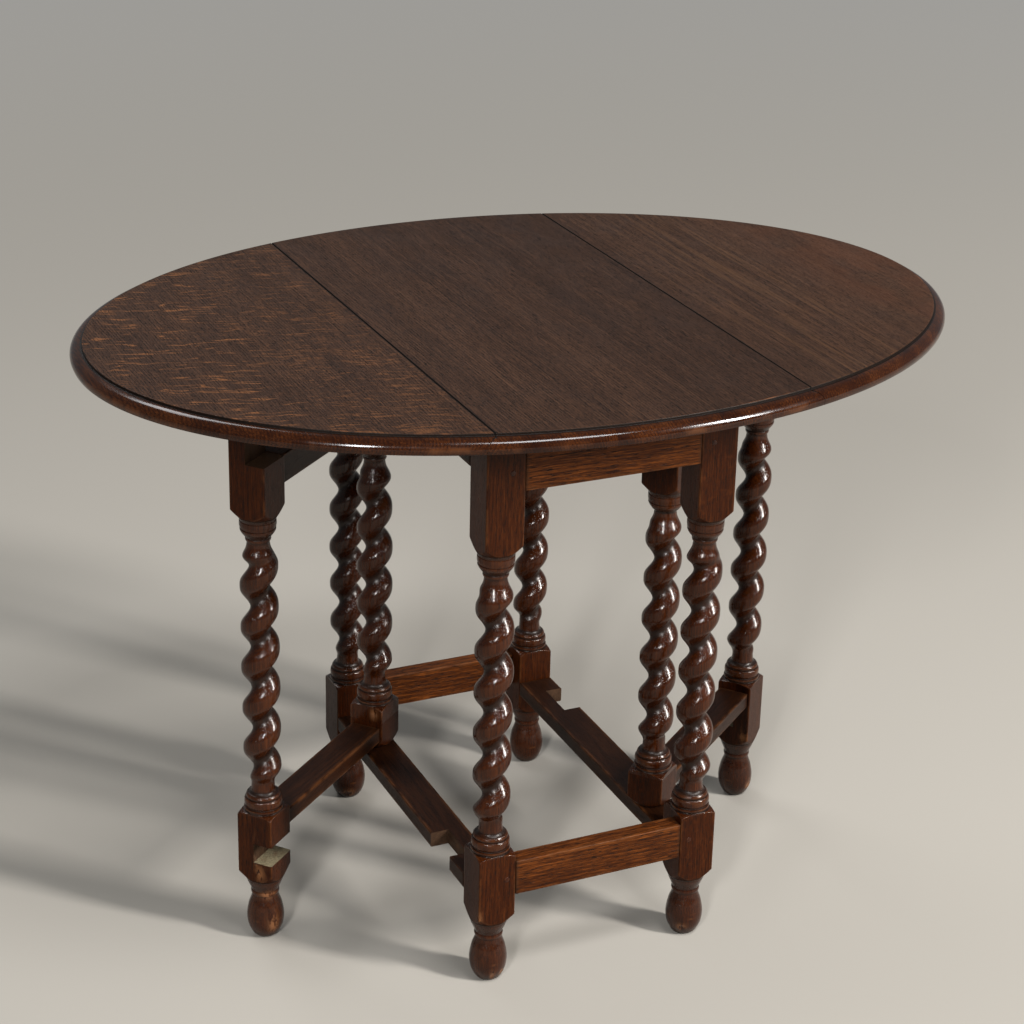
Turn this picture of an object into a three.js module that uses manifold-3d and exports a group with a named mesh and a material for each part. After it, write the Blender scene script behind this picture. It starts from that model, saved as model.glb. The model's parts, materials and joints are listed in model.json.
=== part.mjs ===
// An oval oak gateleg table with barley-twist legs, standing open on its two gates.
//
// Units are millimetres. +Z is up, +X runs across the two drop leaves (the long axis of the open
// oval), and +Y runs along the hinge lines. The origin is on the floor under the centre of the top.
// The table has half-turn symmetry about the Z axis: each gate pivots near one corner of the fixed
// frame and closes against the corner diagonally along the same side.

import * as THREE from "three";
import { mergeVertices } from "three/addons/utils/BufferGeometryUtils.js";
import Module from "manifold-3d";

const wasm = await Module();
wasm.setup();

// ---------------------------------------------------------------- driving dimensions

const TOP_HEIGHT = 728; // floor to the table's upper surface
const TOP_THICKNESS = 19;
const TOP_HALF_LENGTH = 505.6; // flat surface of the oval, along X
const TOP_HALF_WIDTH = 364.6; // flat surface of the oval, along Y
const EDGE_REACH = 14; // how far the moulded edge stands out past the flat surface
const EDGE_FILLET = 3; // depth of the small square step under the surface
const HINGE_LINE_X = 183; // seam between the fixed centre and a leaf
const SEAM_GAP = 0.6;

const SQUARE = 45; // section of every leg, post and long rail
const LEG_X = 128.5;
const LEG_Y = 228;
const FIT_GAP = 0.3; // clearance between pieces that touch

const PIVOT_Y = 132.5; // distance of a gate's pivot from the X axis
const LEFT_GATE_LENGTH = 273; // pivot axis to gate-leg axis
const RIGHT_GATE_LENGTH = 279.5;
const LEFT_GATE_ANGLE = 220.3; // direction of the open left gate, in degrees from +X
const RIGHT_GATE_ANGLE = 38.5;
const GATE_RAIL_WIDTH = 39;
const NOTCH_DEPTH = 24; // halving notches in the gate legs, a little over half the square

const APRON_BOTTOM = 617;
const SIDE_RAIL_BOTTOM = 634.5;
const BOARD_THICKNESS = 22; // aprons and end stretchers
const END_STRETCHER = { bottom: 116.5, top: 160 };
const LONG_STRETCHER = { bottom: 109.5, top: 128.5 };
const GATE_TOP_RAIL = { bottom: 575, top: 610 };
const GATE_LOW_RAIL = { bottom: 140, top: 160 };
const GATE_LOW_NOTCH = { bottom: 107, top: 132 };
const RAIL_NOTCH = { near: 33, far: 24 }; // reach of a long rail's notch past the closed leg's axis

const TWIST_PITCH = 51.5;
const TWIST_RADIUS = 22;
const TWIST_GROOVE_RADIUS = 10.8;
const TWIST_TOP = 503;
const LEG_TWIST_BOTTOM = 205;
const LEFT_POST_LIFT = 16; // the pivot posts' lower turnings sit this much higher than a leg's
const RIGHT_POST_LIFT = 4;

const PIN_RADIUS = 7; // wooden pins that the gates turn on
const PIN_HOLE_RADIUS = 7.6;
const PIN_LENGTH = 14;
const PEG_RADIUS = 3.5;

const TOP_UNDERSIDE = TOP_HEIGHT - TOP_THICKNESS;
const FRAME_TOP = TOP_UNDERSIDE - FIT_GAP;
const HALF = SQUARE / 2;
const OUTER_X = LEG_X + HALF;
const OUTER_Y = LEG_Y + HALF;
const INNER_X = LEG_X - HALF;
const INNER_Y = LEG_Y - HALF;

// Rule joint: a quarter round on the centre inside a matching cove on the leaf, both about the pin.
const RULE_FILLET = 3.5;
const HINGE_AXIS_Z = TOP_UNDERSIDE + 3;
const RULE_RADIUS = TOP_HEIGHT - RULE_FILLET - HINGE_AXIS_Z;
const RULE_CLEARANCE = 0.5;

// ---------------------------------------------------------------- materials

const TOP_OAK = { color: 0x4a2c20, roughness: 0.45, metalness: 0 };
const TURNED_OAK = { color: 0x4e2413, roughness: 0.28, metalness: 0 };
const RAIL_OAK = { color: 0x6a3a1e, roughness: 0.4, metalness: 0 };
const STEEL = { color: 0x4b4743, roughness: 0.5, metalness: 0.85 };

// ---------------------------------------------------------------- solids and meshes

// A closed three.js geometry as a manifold-3d solid.
function solidOf(geometry) {
  const bare = geometry.index ? geometry.toNonIndexed() : geometry.clone();
  bare.deleteAttribute("normal");
  bare.deleteAttribute("uv");
  const merged = mergeVertices(bare, 1e-3);
  const mesh = new wasm.Mesh({
    numProp: 3,
    vertProperties: new Float32Array(merged.attributes.position.array),
    triVerts: new Uint32Array(merged.index.array),
  });
  return new wasm.Manifold(mesh);
}

function geometryOf(solid) {
  const mesh = solid.getMesh();
  const geometry = new THREE.BufferGeometry();
  geometry.setAttribute("position", new THREE.BufferAttribute(mesh.vertProperties, 3));
  geometry.setIndex(new THREE.BufferAttribute(mesh.triVerts, 1));
  geometry.computeVertexNormals();
  return geometry;
}

function box(x, y, z) {
  const geometry = new THREE.BoxGeometry(x[1] - x[0], y[1] - y[0], z[1] - z[0]);
  geometry.translate((x[0] + x[1]) / 2, (y[0] + y[1]) / 2, (z[0] + z[1]) / 2);
  return solidOf(geometry);
}

// A round bar between two heights or depths along one axis.
function bar(axis, centre, span, radius, sides = 12) {
  const geometry = new THREE.CylinderGeometry(radius, radius, span[1] - span[0], sides);
  if (axis === "z") geometry.rotateX(Math.PI / 2);
  if (axis === "x") geometry.rotateZ(Math.PI / 2);
  const middle = (span[0] + span[1]) / 2;
  const place = { x: [middle, ...centre], y: [centre[0], middle, centre[1]], z: [...centre, middle] };
  geometry.translate(...place[axis]);
  return solidOf(geometry);
}

// A shape drawn in the XZ plane and carried along Y.
function prismAlongY(points, fromY, toY) {
  const shape = new THREE.Shape(points.map(([x, z]) => new THREE.Vector2(x, z)));
  const geometry = new THREE.ExtrudeGeometry(shape, { depth: toY - fromY, bevelEnabled: false });
  geometry.rotateX(Math.PI / 2);
  geometry.translate(0, toY, 0);
  return solidOf(geometry);
}

// Rings of points, lowest first and each counterclockwise from above, joined and closed at both ends.
function loft(rings) {
  const sides = rings[0].length;
  const positions = rings.flat(2);
  const triangles = [];
  for (let ring = 0; ring + 1 < rings.length; ring++) {
    for (let k = 0; k < sides; k++) {
      const a = ring * sides + k;
      const b = ring * sides + ((k + 1) % sides);
      triangles.push(a, b, b + sides, a, b + sides, a + sides);
    }
  }
  const last = (rings.length - 1) * sides;
  for (let k = 1; k + 1 < sides; k++) {
    triangles.push(0, k + 1, k);
    triangles.push(last, last + k, last + k + 1);
  }
  const geometry = new THREE.BufferGeometry();
  geometry.setAttribute("position", new THREE.Float32BufferAttribute(positions, 3));
  geometry.setIndex(triangles);
  return solidOf(geometry);
}

const table = new THREE.Group();

function addPiece(parent, name, solid, finish) {
  const mesh = new THREE.Mesh(geometryOf(solid), new THREE.MeshStandardMaterial(finish));
  mesh.name = name;
  parent.add(mesh);
}

// ---------------------------------------------------------------- turned posts

const POST_SIDES = 12;
const STEPS_PER_TURN = 5;
const FIRST_ANGLE = Math.PI / 12; // puts a vertex on each corner of the square
const CORNER_RADIUS = HALF * Math.SQRT2;

// Each turning is a list of [height, radius], from the floor or from the post's own base up.
const FOOT = [
  [0, 12.5], [6, 17], [15, 20.6], [28, 22], [42, 19.6], [54, 15.4], [60, 16.5], [64, 16], [70, 19],
];
const LOWER_BLOCK = [[79.7, HALF], [91, CORNER_RADIUS], [166, CORNER_RADIUS], [171, HALF]];
const LOWER_RINGS = [[175, 22.3], [176.5, 20.6], [178, 22], [187, 21], [189, 20], [193, 18], [196, 14]];
const UPPER_RINGS = [[506, 13], [514, 13], [518, 14.6], [523, 18.8], [528, 20.4], [530, 21], [539, 20.6]];
const UPPER_BLOCK_FOOT = [[543, HALF], [553.5, CORNER_RADIUS]];

function smooth(t) {
  const u = Math.min(1, Math.max(0, t));
  return u * u * (3 - 2 * u);
}

// Radius of the twist at a height and an angle: one broad strand winding up to the right, with a
// narrower groove between its turns. Both ends swell out of a plain neck.
function twistRadius(angle, z, bottom, startAngle) {
  const swell = smooth((z - bottom) / 22) * smooth((TWIST_TOP - z) / 22);
  const cut = smooth((z - bottom) / 13) * smooth((TWIST_TOP - z) / 13);
  const outer = 13.3 + (TWIST_RADIUS - 13.3) * swell;
  const turn = angle - startAngle - (2 * Math.PI * z) / TWIST_PITCH;
  const groove = Math.pow((1 - Math.cos(turn)) / 2, 1.5);
  return outer - (outer - TWIST_GROOVE_RADIUS) * groove * cut;
}

function turnedRing(z, radiusAt) {
  return Array.from({ length: POST_SIDES }, (_, k) => {
    const angle = FIRST_ANGLE + (2 * Math.PI * k) / POST_SIDES;
    const squareRadius = HALF / Math.max(Math.abs(Math.cos(angle)), Math.abs(Math.sin(angle)));
    const radius = Math.min(radiusAt(angle), squareRadius);
    return [radius * Math.cos(angle), radius * Math.sin(angle), z];
  });
}

// A square post turned on a lathe between its two blocks, standing on the Z axis.
// below is the turning under the lower block, lift raises the lower block's rings, and above is
// what is left over the upper block's foot.
function turnedPost(below, lift, above, startDegrees) {
  const rings = [];
  const addTurning = (turning, rise = 0) => {
    for (const [z, radius] of turning) rings.push(turnedRing(z + rise, () => radius));
  };
  addTurning(below);
  addTurning(LOWER_RINGS, lift);
  const bottom = LEG_TWIST_BOTTOM + lift;
  const steps = Math.round(((TWIST_TOP - bottom) / TWIST_PITCH) * STEPS_PER_TURN);
  for (let k = 0; k <= steps; k++) {
    const z = bottom + ((TWIST_TOP - bottom) * k) / steps;
    const start = (startDegrees * Math.PI) / 180;
    rings.push(turnedRing(z, (angle) => twistRadius(angle, z, bottom, start)));
  }
  addTurning(UPPER_RINGS);
  addTurning(UPPER_BLOCK_FOOT);
  addTurning(above);
  return loft(rings);
}

function legSolid(startDegrees) {
  return turnedPost([...FOOT, ...LOWER_BLOCK], 0, [[FRAME_TOP, CORNER_RADIUS]], startDegrees);
}

// A pivot post stands on the long stretcher, under the long top rail, on a pin at each end.
function pivotPostSolid(startDegrees, lift) {
  const base = LONG_STRETCHER.top + 0.7;
  const head = SIDE_RAIL_BOTTOM - 0.7;
  const below = [
    [base - PIN_LENGTH, PIN_RADIUS],
    [base, PIN_RADIUS],
    [base + 0.05, 23.5],
    [base + 8, CORNER_RADIUS],
    [166 + lift, CORNER_RADIUS],
    [171 + lift, HALF],
  ];
  const above = [
    [head - 8, CORNER_RADIUS],
    [head - 0.05, 23.5],
    [head, PIN_RADIUS],
    [head + PIN_LENGTH, PIN_RADIUS],
  ];
  return turnedPost(below, lift, above, startDegrees);
}

// ---------------------------------------------------------------- tenons of the fixed frame

// Tenon boxes for the front-right corner (+X, -Y); the other corners mirror them.
const CORNER_TENONS = {
  apron: {
    x: [INNER_X - 1, INNER_X + 28],
    y: [LEG_Y + 7.5, LEG_Y + 15.5],
    z: [APRON_BOTTOM + 10, TOP_UNDERSIDE - 15],
  },
  endStretcher: {
    x: [INNER_X - 1, INNER_X + 28],
    y: [LEG_Y + 7.5, LEG_Y + 15.5],
    z: [END_STRETCHER.bottom + 6, END_STRETCHER.top - 6],
  },
  sideRail: {
    x: [LEG_X - 6, LEG_X + 6],
    y: [INNER_Y - 1, INNER_Y + 20],
    z: [SIDE_RAIL_BOTTOM + 8, TOP_UNDERSIDE - 12],
  },
  longStretcher: {
    x: [LEG_X - 15, LEG_X + 15],
    y: [INNER_Y - 1, INNER_Y + 20],
    z: [LONG_STRETCHER.bottom + 5, LONG_STRETCHER.top - 5],
  },
};

function mirrored(span, sign) {
  return sign > 0 ? span : [-span[1], -span[0]];
}

// The tenon at corner (signX, signY), or with grow its mortise.
function cornerTenon(kind, signX, signY, grow = 0) {
  const { x, y, z } = CORNER_TENONS[kind];
  const wide = (span) => [span[0] - grow, span[1] + grow];
  return box(wide(mirrored(x, signX)), wide(mirrored(y, signY)), wide(z));
}

// ---------------------------------------------------------------- fixed frame

const PEG_SIDES = 8;

// Pegs that lock the tenons of one corner, each driven in from an outer face of the leg. at gives
// the place of the axis on that face, and inner the depth that the peg's blind end reaches.
const CORNER_PEGS = {
  apron: { axis: "y", at: [INNER_X + 15, 640], inner: LEG_Y + 3, outer: OUTER_Y },
  stretcher: { axis: "y", at: [INNER_X + 11, 138], inner: LEG_Y + 3, outer: OUTER_Y },
  rail: { axis: "x", at: [INNER_Y + 10, 664], inner: LEG_X - 10, outer: OUTER_X },
};

// A peg at corner (signX, signY), or its hole.
function cornerPeg(kind, signX, signY, isHole) {
  const { axis, at, inner, outer } = CORNER_PEGS[kind];
  const alongSign = axis === "y" ? signY : signX;
  const acrossSign = axis === "y" ? signX : signY;
  const span = isHole ? [inner - FIT_GAP, outer + 1] : [inner, outer];
  const radius = isHole ? PEG_RADIUS + 0.4 : PEG_RADIUS;
  return bar(axis, [acrossSign * at[0], at[1]], mirrored(span, alongSign), radius, PEG_SIDES);
}

const CORNERS = [
  { name: "front_left", signX: -1, signY: -1, twistStart: 89 },
  { name: "front_right", signX: 1, signY: -1, twistStart: 245 },
  { name: "back_right", signX: 1, signY: 1, twistStart: 340 },
  { name: "back_left", signX: -1, signY: 1, twistStart: 187 },
];

for (const { name, signX, signY, twistStart } of CORNERS) {
  let leg = legSolid(twistStart).translate([signX * LEG_X, signY * LEG_Y, 0]);
  for (const kind of Object.keys(CORNER_TENONS)) {
    leg = leg.subtract(cornerTenon(kind, signX, signY, FIT_GAP));
  }
  for (const kind of Object.keys(CORNER_PEGS)) {
    leg = leg.subtract(cornerPeg(kind, signX, signY, true));
    addPiece(table, `${name}_${kind}_peg`, cornerPeg(kind, signX, signY, false), RAIL_OAK);
  }
  addPiece(table, `${name}_leg`, leg, TURNED_OAK);
}

const BOARD_HALF_LENGTH = INNER_X - FIT_GAP;
const RAIL_HALF_LENGTH = INNER_Y - FIT_GAP;

for (const [end, signY] of [["front", -1], ["back", 1]]) {
  const y = mirrored([OUTER_Y - BOARD_THICKNESS, OUTER_Y], signY);
  const x = [-BOARD_HALF_LENGTH, BOARD_HALF_LENGTH];
  let apron = box(x, y, [APRON_BOTTOM, FRAME_TOP]);
  let stretcher = box(x, y, [END_STRETCHER.bottom, END_STRETCHER.top]);
  for (const signX of [-1, 1]) {
    apron = apron.add(cornerTenon("apron", signX, signY));
    apron = apron.subtract(cornerPeg("apron", signX, signY, true));
    stretcher = stretcher.add(cornerTenon("endStretcher", signX, signY));
    stretcher = stretcher.subtract(cornerPeg("stretcher", signX, signY, true));
  }
  addPiece(table, `${end}_apron`, apron, RAIL_OAK);
  addPiece(table, `${end}_stretcher`, stretcher, RAIL_OAK);
}

const GATES = [
  {
    side: "left",
    signX: -1,
    angle: LEFT_GATE_ANGLE,
    length: LEFT_GATE_LENGTH,
    legTwist: 206,
    postTwist: 88,
    postLift: LEFT_POST_LIFT,
  },
  {
    side: "right",
    signX: 1,
    angle: RIGHT_GATE_ANGLE,
    length: RIGHT_GATE_LENGTH,
    legTwist: 53,
    postTwist: 68,
    postLift: RIGHT_POST_LIFT,
  },
];

// Each long rail is notched on its outer side where its gate leg closes: at the front on the left
// side and at the back on the right side. The pivot pin's hole is near the other end.
for (const { side, signX, length } of GATES) {
  const x = mirrored([INNER_X, OUTER_X], signX);
  const closedY = length - PIVOT_Y;
  const notchX = mirrored([LEG_X, OUTER_X + 1], signX);
  const notchY = mirrored([closedY - RAIL_NOTCH.near, closedY + RAIL_NOTCH.far], signX);
  const y = [-RAIL_HALF_LENGTH, RAIL_HALF_LENGTH];
  const pivot = [signX * LEG_X, -signX * PIVOT_Y];
  const hole = (span) => bar("z", pivot, span, PIN_HOLE_RADIUS);

  let rail = box(x, y, [SIDE_RAIL_BOTTOM, FRAME_TOP]);
  let stretcher = box(x, y, [LONG_STRETCHER.bottom, LONG_STRETCHER.top]);
  for (const signY of [-1, 1]) {
    rail = rail.add(cornerTenon("sideRail", signX, signY));
    rail = rail.subtract(cornerPeg("rail", signX, signY, true));
    stretcher = stretcher.add(cornerTenon("longStretcher", signX, signY));
  }
  rail = rail.subtract(box(notchX, notchY, [SIDE_RAIL_BOTTOM - 1, FRAME_TOP + 1]));
  rail = rail.subtract(hole([SIDE_RAIL_BOTTOM - 1, SIDE_RAIL_BOTTOM + PIN_LENGTH + 1]));
  stretcher = stretcher.subtract(box(notchX, notchY, [LONG_STRETCHER.bottom - 1, LONG_STRETCHER.top + 1]));
  stretcher = stretcher.subtract(hole([LONG_STRETCHER.top - PIN_LENGTH - 1, LONG_STRETCHER.top + 1]));
  addPiece(table, `${side}_top_rail`, rail, RAIL_OAK);
  addPiece(table, `${side}_long_stretcher`, stretcher, RAIL_OAK);
}

// Glue blocks in the angle between each apron and the centre top.
const BLOCK_X = [30, 90];
const BLOCK_SIZE = 24;
for (const { name, signX, signY } of CORNERS) {
  const inside = OUTER_Y - BOARD_THICKNESS - FIT_GAP;
  const block = box(
    mirrored(BLOCK_X, signX),
    mirrored([inside - BLOCK_SIZE, inside], signY),
    [FRAME_TOP - BLOCK_SIZE, FRAME_TOP],
  );
  addPiece(table, `${name}_glue_block`, block, RAIL_OAK);
}

// ---------------------------------------------------------------- gates

// Rail tenons in a gate's own frame: X from the pivot to the gate leg, Y towards the closed side.
function gateTenon(rail, length, postSide, grow = 0) {
  const shoulder = postSide ? HALF : length - HALF;
  const reach = postSide ? [shoulder - 22, shoulder + 2] : [shoulder - 2, shoulder + 22];
  const isTop = rail === GATE_TOP_RAIL;
  const halfAcross = isTop ? 6 : 12;
  return box(
    [reach[0] - grow, reach[1] + grow],
    [-halfAcross - grow, halfAcross + grow],
    [rail.bottom + 5 - grow, rail.top - 5 + grow],
  );
}

function gateRail(rail, length) {
  const x = [HALF + FIT_GAP, length - HALF - FIT_GAP];
  const y = [-GATE_RAIL_WIDTH / 2, GATE_RAIL_WIDTH / 2];
  return box(x, y, [rail.bottom, rail.top])
    .add(gateTenon(rail, length, true))
    .add(gateTenon(rail, length, false));
}

function cutGateMortises(solid, length, postSide) {
  return solid
    .subtract(gateTenon(GATE_TOP_RAIL, length, postSide, FIT_GAP))
    .subtract(gateTenon(GATE_LOW_RAIL, length, postSide, FIT_GAP));
}

// The gate leg's two halving notches let it close over the long rails of the fixed frame.
function gateLeg(startDegrees, length) {
  const notchX = [-HALF - 1, HALF + 1];
  const notchY = [HALF - NOTCH_DEPTH, HALF + 1];
  const leg = legSolid(startDegrees)
    .subtract(box(notchX, notchY, [GATE_TOP_RAIL.top, TOP_HEIGHT]))
    .subtract(box(notchX, notchY, [GATE_LOW_NOTCH.bottom, GATE_LOW_NOTCH.top]));
  return cutGateMortises(leg.translate([length, 0, 0]), length, false);
}

const STOP = { length: 60, thickness: 14, height: 16 };

for (const { side, signX, angle, length, legTwist, postTwist, postLift } of GATES) {
  const gate = new THREE.Group();
  gate.position.set(signX * LEG_X, -signX * PIVOT_Y, 0);
  gate.rotation.z = (angle * Math.PI) / 180;
  table.add(gate);
  const post = cutGateMortises(pivotPostSolid(postTwist - angle, postLift), length, true);
  addPiece(gate, `${side}_pivot_post`, post, TURNED_OAK);
  addPiece(gate, `${side}_gate_leg`, gateLeg(legTwist - angle, length), TURNED_OAK);
  addPiece(gate, `${side}_gate_top_rail`, gateRail(GATE_TOP_RAIL, length), RAIL_OAK);
  addPiece(gate, `${side}_gate_low_rail`, gateRail(GATE_LOW_RAIL, length), RAIL_OAK);

  // A small block under the leaf stops the gate where it stands open.
  const stop = box(
    [length - STOP.length / 2, length + STOP.length / 2],
    [-HALF - FIT_GAP - STOP.thickness, -HALF - FIT_GAP],
    [FRAME_TOP - STOP.height, FRAME_TOP],
  );
  addPiece(gate, `${side}_gate_stop`, stop, RAIL_OAK);
}

// ---------------------------------------------------------------- oval top

const OVAL_SIDES = 80;

// Edge moulding from the underside up, as [reach past the flat surface, height over the underside].
function edgeProfile() {
  const profile = [[EDGE_REACH - 1.5, 0], [EDGE_REACH, 4.5]];
  const steps = 4;
  const rise = TOP_THICKNESS - EDGE_FILLET - 4.5;
  for (let k = 1; k <= steps; k++) {
    const turn = (Math.PI / 2) * (k / steps);
    profile.push([1.2 + (EDGE_REACH - 1.2) * Math.cos(turn), 4.5 + rise * Math.sin(turn)]);
  }
  profile.push([0.2, TOP_THICKNESS - EDGE_FILLET], [0, TOP_THICKNESS]);
  return profile;
}

// One closed outline: the flat surface's ellipse, moved outwards by reach.
function ovalRing(reach, z) {
  return Array.from({ length: OVAL_SIDES }, (_, k) => {
    const turn = (2 * Math.PI * (k + 0.5)) / OVAL_SIDES;
    const normal = new THREE.Vector2(Math.cos(turn) / TOP_HALF_LENGTH, Math.sin(turn) / TOP_HALF_WIDTH);
    normal.normalize();
    return [
      TOP_HALF_LENGTH * Math.cos(turn) + reach * normal.x,
      TOP_HALF_WIDTH * Math.sin(turn) + reach * normal.y,
      z,
    ];
  });
}

// The rule joint's section from the underside up, at the right-hand seam.
function ruleJointLine(seamX, radius) {
  const line = [[HINGE_LINE_X + radius, TOP_UNDERSIDE - 1]];
  const steps = 5;
  for (let k = 0; k <= steps; k++) {
    const turn = (Math.PI / 2) * (k / steps);
    const x = HINGE_LINE_X + radius * Math.cos(turn);
    line.push([Math.max(x, seamX), HINGE_AXIS_Z + radius * Math.sin(turn)]);
  }
  line.push([seamX, TOP_HEIGHT + 1]);
  return line;
}

const CUT_Y = TOP_HALF_WIDTH + EDGE_REACH + 10;
const rings = edgeProfile().map(([reach, up]) => ovalRing(reach, TOP_UNDERSIDE + up));
const oval = loft(rings);

const centreLine = ruleJointLine(HINGE_LINE_X, RULE_RADIUS);
const flipX = ([x, z]) => [-x, z];
const centreSection = [...centreLine, ...centreLine.map(flipX).reverse()];
const leafLine = ruleJointLine(HINGE_LINE_X + SEAM_GAP, RULE_RADIUS + RULE_CLEARANCE);
const farX = TOP_HALF_LENGTH + EDGE_REACH + 10;
const leafSection = [[farX, TOP_UNDERSIDE - 1], [farX, TOP_HEIGHT + 1], ...leafLine.slice().reverse()];

let centreTop = oval.intersect(prismAlongY(centreSection, -CUT_Y, CUT_Y));
const leaves = {
  left: oval.intersect(prismAlongY(leafSection.map(flipX).reverse(), -CUT_Y, CUT_Y)),
  right: oval.intersect(prismAlongY(leafSection, -CUT_Y, CUT_Y)),
};

// ---------------------------------------------------------------- leaf hinges

const FLAP_THICKNESS = 2;
const FLAP_HALF_WIDTH = 19; // along the hinge line
const FRAME_FLAP_LENGTH = 38;
const LEAF_FLAP_LENGTH = 55;
const KNUCKLE_RADIUS = 2.6;
const HINGE_PIN_RADIUS = 1.3;
const HINGE_BORE_RADIUS = 1.55;
const MIDDLE_KNUCKLE = 7; // half length of the leaf's knuckle
const HINGE_Y = [["front", -220], ["back", 220]];
const RECESS_GAP = 0.3;
const RECESS_DEPTH = FLAP_THICKNESS + 0.8; // room for the leaf flap to tip when the leaf is lifted
const HINGE_SIDES = 8;

// Hinge pieces at the right-hand seam, centred on y.
function hingePieces(y) {
  const flapZ = [TOP_UNDERSIDE + 0.05, TOP_UNDERSIDE + FLAP_THICKNESS];
  const axis = [HINGE_LINE_X, HINGE_AXIS_Z];
  const along = (from, to) => [y + from, y + to];
  const knuckle = (from, to) => bar("y", axis, along(from, to), KNUCKLE_RADIUS, HINGE_SIDES);
  const bore = bar("y", axis, along(-30, 30), HINGE_BORE_RADIUS, HINGE_SIDES);
  const gap = box([HINGE_LINE_X - 4, HINGE_LINE_X + 4], along(-MIDDLE_KNUCKLE, MIDDLE_KNUCKLE), [
    TOP_UNDERSIDE - 1,
    TOP_HEIGHT,
  ]);
  const frameFlap = box(
    [HINGE_LINE_X - FRAME_FLAP_LENGTH, HINGE_LINE_X - 1.9],
    along(-FLAP_HALF_WIDTH, FLAP_HALF_WIDTH),
    flapZ,
  )
    .add(knuckle(-FLAP_HALF_WIDTH, FLAP_HALF_WIDTH))
    .subtract(gap)
    .subtract(bore);
  const inner = MIDDLE_KNUCKLE - RECESS_GAP;
  const leafFlap = box(
    [HINGE_LINE_X + 3.2, HINGE_LINE_X + LEAF_FLAP_LENGTH],
    along(-FLAP_HALF_WIDTH, FLAP_HALF_WIDTH),
    flapZ,
  )
    .add(box([HINGE_LINE_X + 1.9, HINGE_LINE_X + 4], along(-inner, inner), flapZ))
    .add(knuckle(-inner, inner))
    .subtract(bore);
  const pinSpan = along(-FLAP_HALF_WIDTH, FLAP_HALF_WIDTH);
  const pin = bar("y", axis, pinSpan, HINGE_PIN_RADIUS, HINGE_SIDES);
  return { frameFlap, leafFlap, pin };
}

// The pocket under the seam that lets a hinge in flush.
function hingeRecess(y) {
  const wide = [y - FLAP_HALF_WIDTH - RECESS_GAP, y + FLAP_HALF_WIDTH + RECESS_GAP];
  const flapTop = TOP_UNDERSIDE + RECESS_DEPTH;
  const flaps = box(
    [HINGE_LINE_X - FRAME_FLAP_LENGTH - RECESS_GAP, HINGE_LINE_X + LEAF_FLAP_LENGTH + RECESS_GAP],
    wide,
    [TOP_UNDERSIDE - 1, flapTop],
  );
  const groove = KNUCKLE_RADIUS + RECESS_GAP;
  const knuckle = box(
    [HINGE_LINE_X - groove, HINGE_LINE_X + groove],
    wide,
    [TOP_UNDERSIDE - 1, HINGE_AXIS_Z + groove],
  );
  return flaps.add(knuckle);
}

for (const [side, signX] of [["left", -1], ["right", 1]]) {
  for (const [end, y] of HINGE_Y) {
    const place = (solid) => (signX > 0 ? solid : solid.mirror([1, 0, 0]));
    const recess = place(hingeRecess(y));
    centreTop = centreTop.subtract(recess);
    leaves[side] = leaves[side].subtract(recess);
    const { frameFlap, leafFlap, pin } = hingePieces(y);
    addPiece(table, `${side}_${end}_hinge_frame_flap`, place(frameFlap), STEEL);
    addPiece(table, `${side}_${end}_hinge_leaf_flap`, place(leafFlap), STEEL);
    addPiece(table, `${side}_${end}_hinge_pin`, place(pin), STEEL);
  }
}

addPiece(table, "center_top", centreTop, TOP_OAK);
addPiece(table, "left_leaf", leaves.left, TOP_OAK);
addPiece(table, "right_leaf", leaves.right, TOP_OAK);

export default table;
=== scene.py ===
import json
import math
import random
from functools import reduce
from types import SimpleNamespace

import bpy
import numpy as np
from mathutils import Matrix, Vector

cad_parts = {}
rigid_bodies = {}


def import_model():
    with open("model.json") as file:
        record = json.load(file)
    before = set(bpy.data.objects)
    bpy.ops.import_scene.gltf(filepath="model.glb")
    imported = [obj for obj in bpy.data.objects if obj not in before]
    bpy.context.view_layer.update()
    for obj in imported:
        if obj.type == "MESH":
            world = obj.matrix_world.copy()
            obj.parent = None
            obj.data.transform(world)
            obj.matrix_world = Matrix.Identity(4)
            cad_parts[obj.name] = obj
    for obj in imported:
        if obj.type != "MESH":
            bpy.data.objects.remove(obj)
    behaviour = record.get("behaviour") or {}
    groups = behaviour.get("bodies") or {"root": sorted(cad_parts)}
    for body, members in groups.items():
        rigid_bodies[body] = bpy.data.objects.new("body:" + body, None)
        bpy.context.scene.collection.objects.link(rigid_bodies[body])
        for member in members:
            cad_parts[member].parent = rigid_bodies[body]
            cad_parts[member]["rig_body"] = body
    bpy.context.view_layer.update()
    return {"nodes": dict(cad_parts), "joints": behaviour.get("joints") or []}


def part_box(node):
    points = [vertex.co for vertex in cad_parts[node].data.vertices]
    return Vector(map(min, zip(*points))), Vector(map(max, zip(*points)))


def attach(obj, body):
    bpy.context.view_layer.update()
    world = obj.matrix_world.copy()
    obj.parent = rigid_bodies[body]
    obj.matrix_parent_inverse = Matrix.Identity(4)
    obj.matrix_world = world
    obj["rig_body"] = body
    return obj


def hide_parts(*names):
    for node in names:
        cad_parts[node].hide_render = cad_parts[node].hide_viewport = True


# The fine surfaces, woods and studio of an oval oak gateleg table with barley-twist legs.
# Sizes are in millimetres until a mesh is made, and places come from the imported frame.

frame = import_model()

MM = 0.001
TAU = 2 * math.pi
SIGNS = {"left": -1, "right": 1}
ENDS = ("front", "back")
CORNERS = ("front_left", "front_right", "back_left", "back_right")

# ---- driving dimensions

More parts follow.
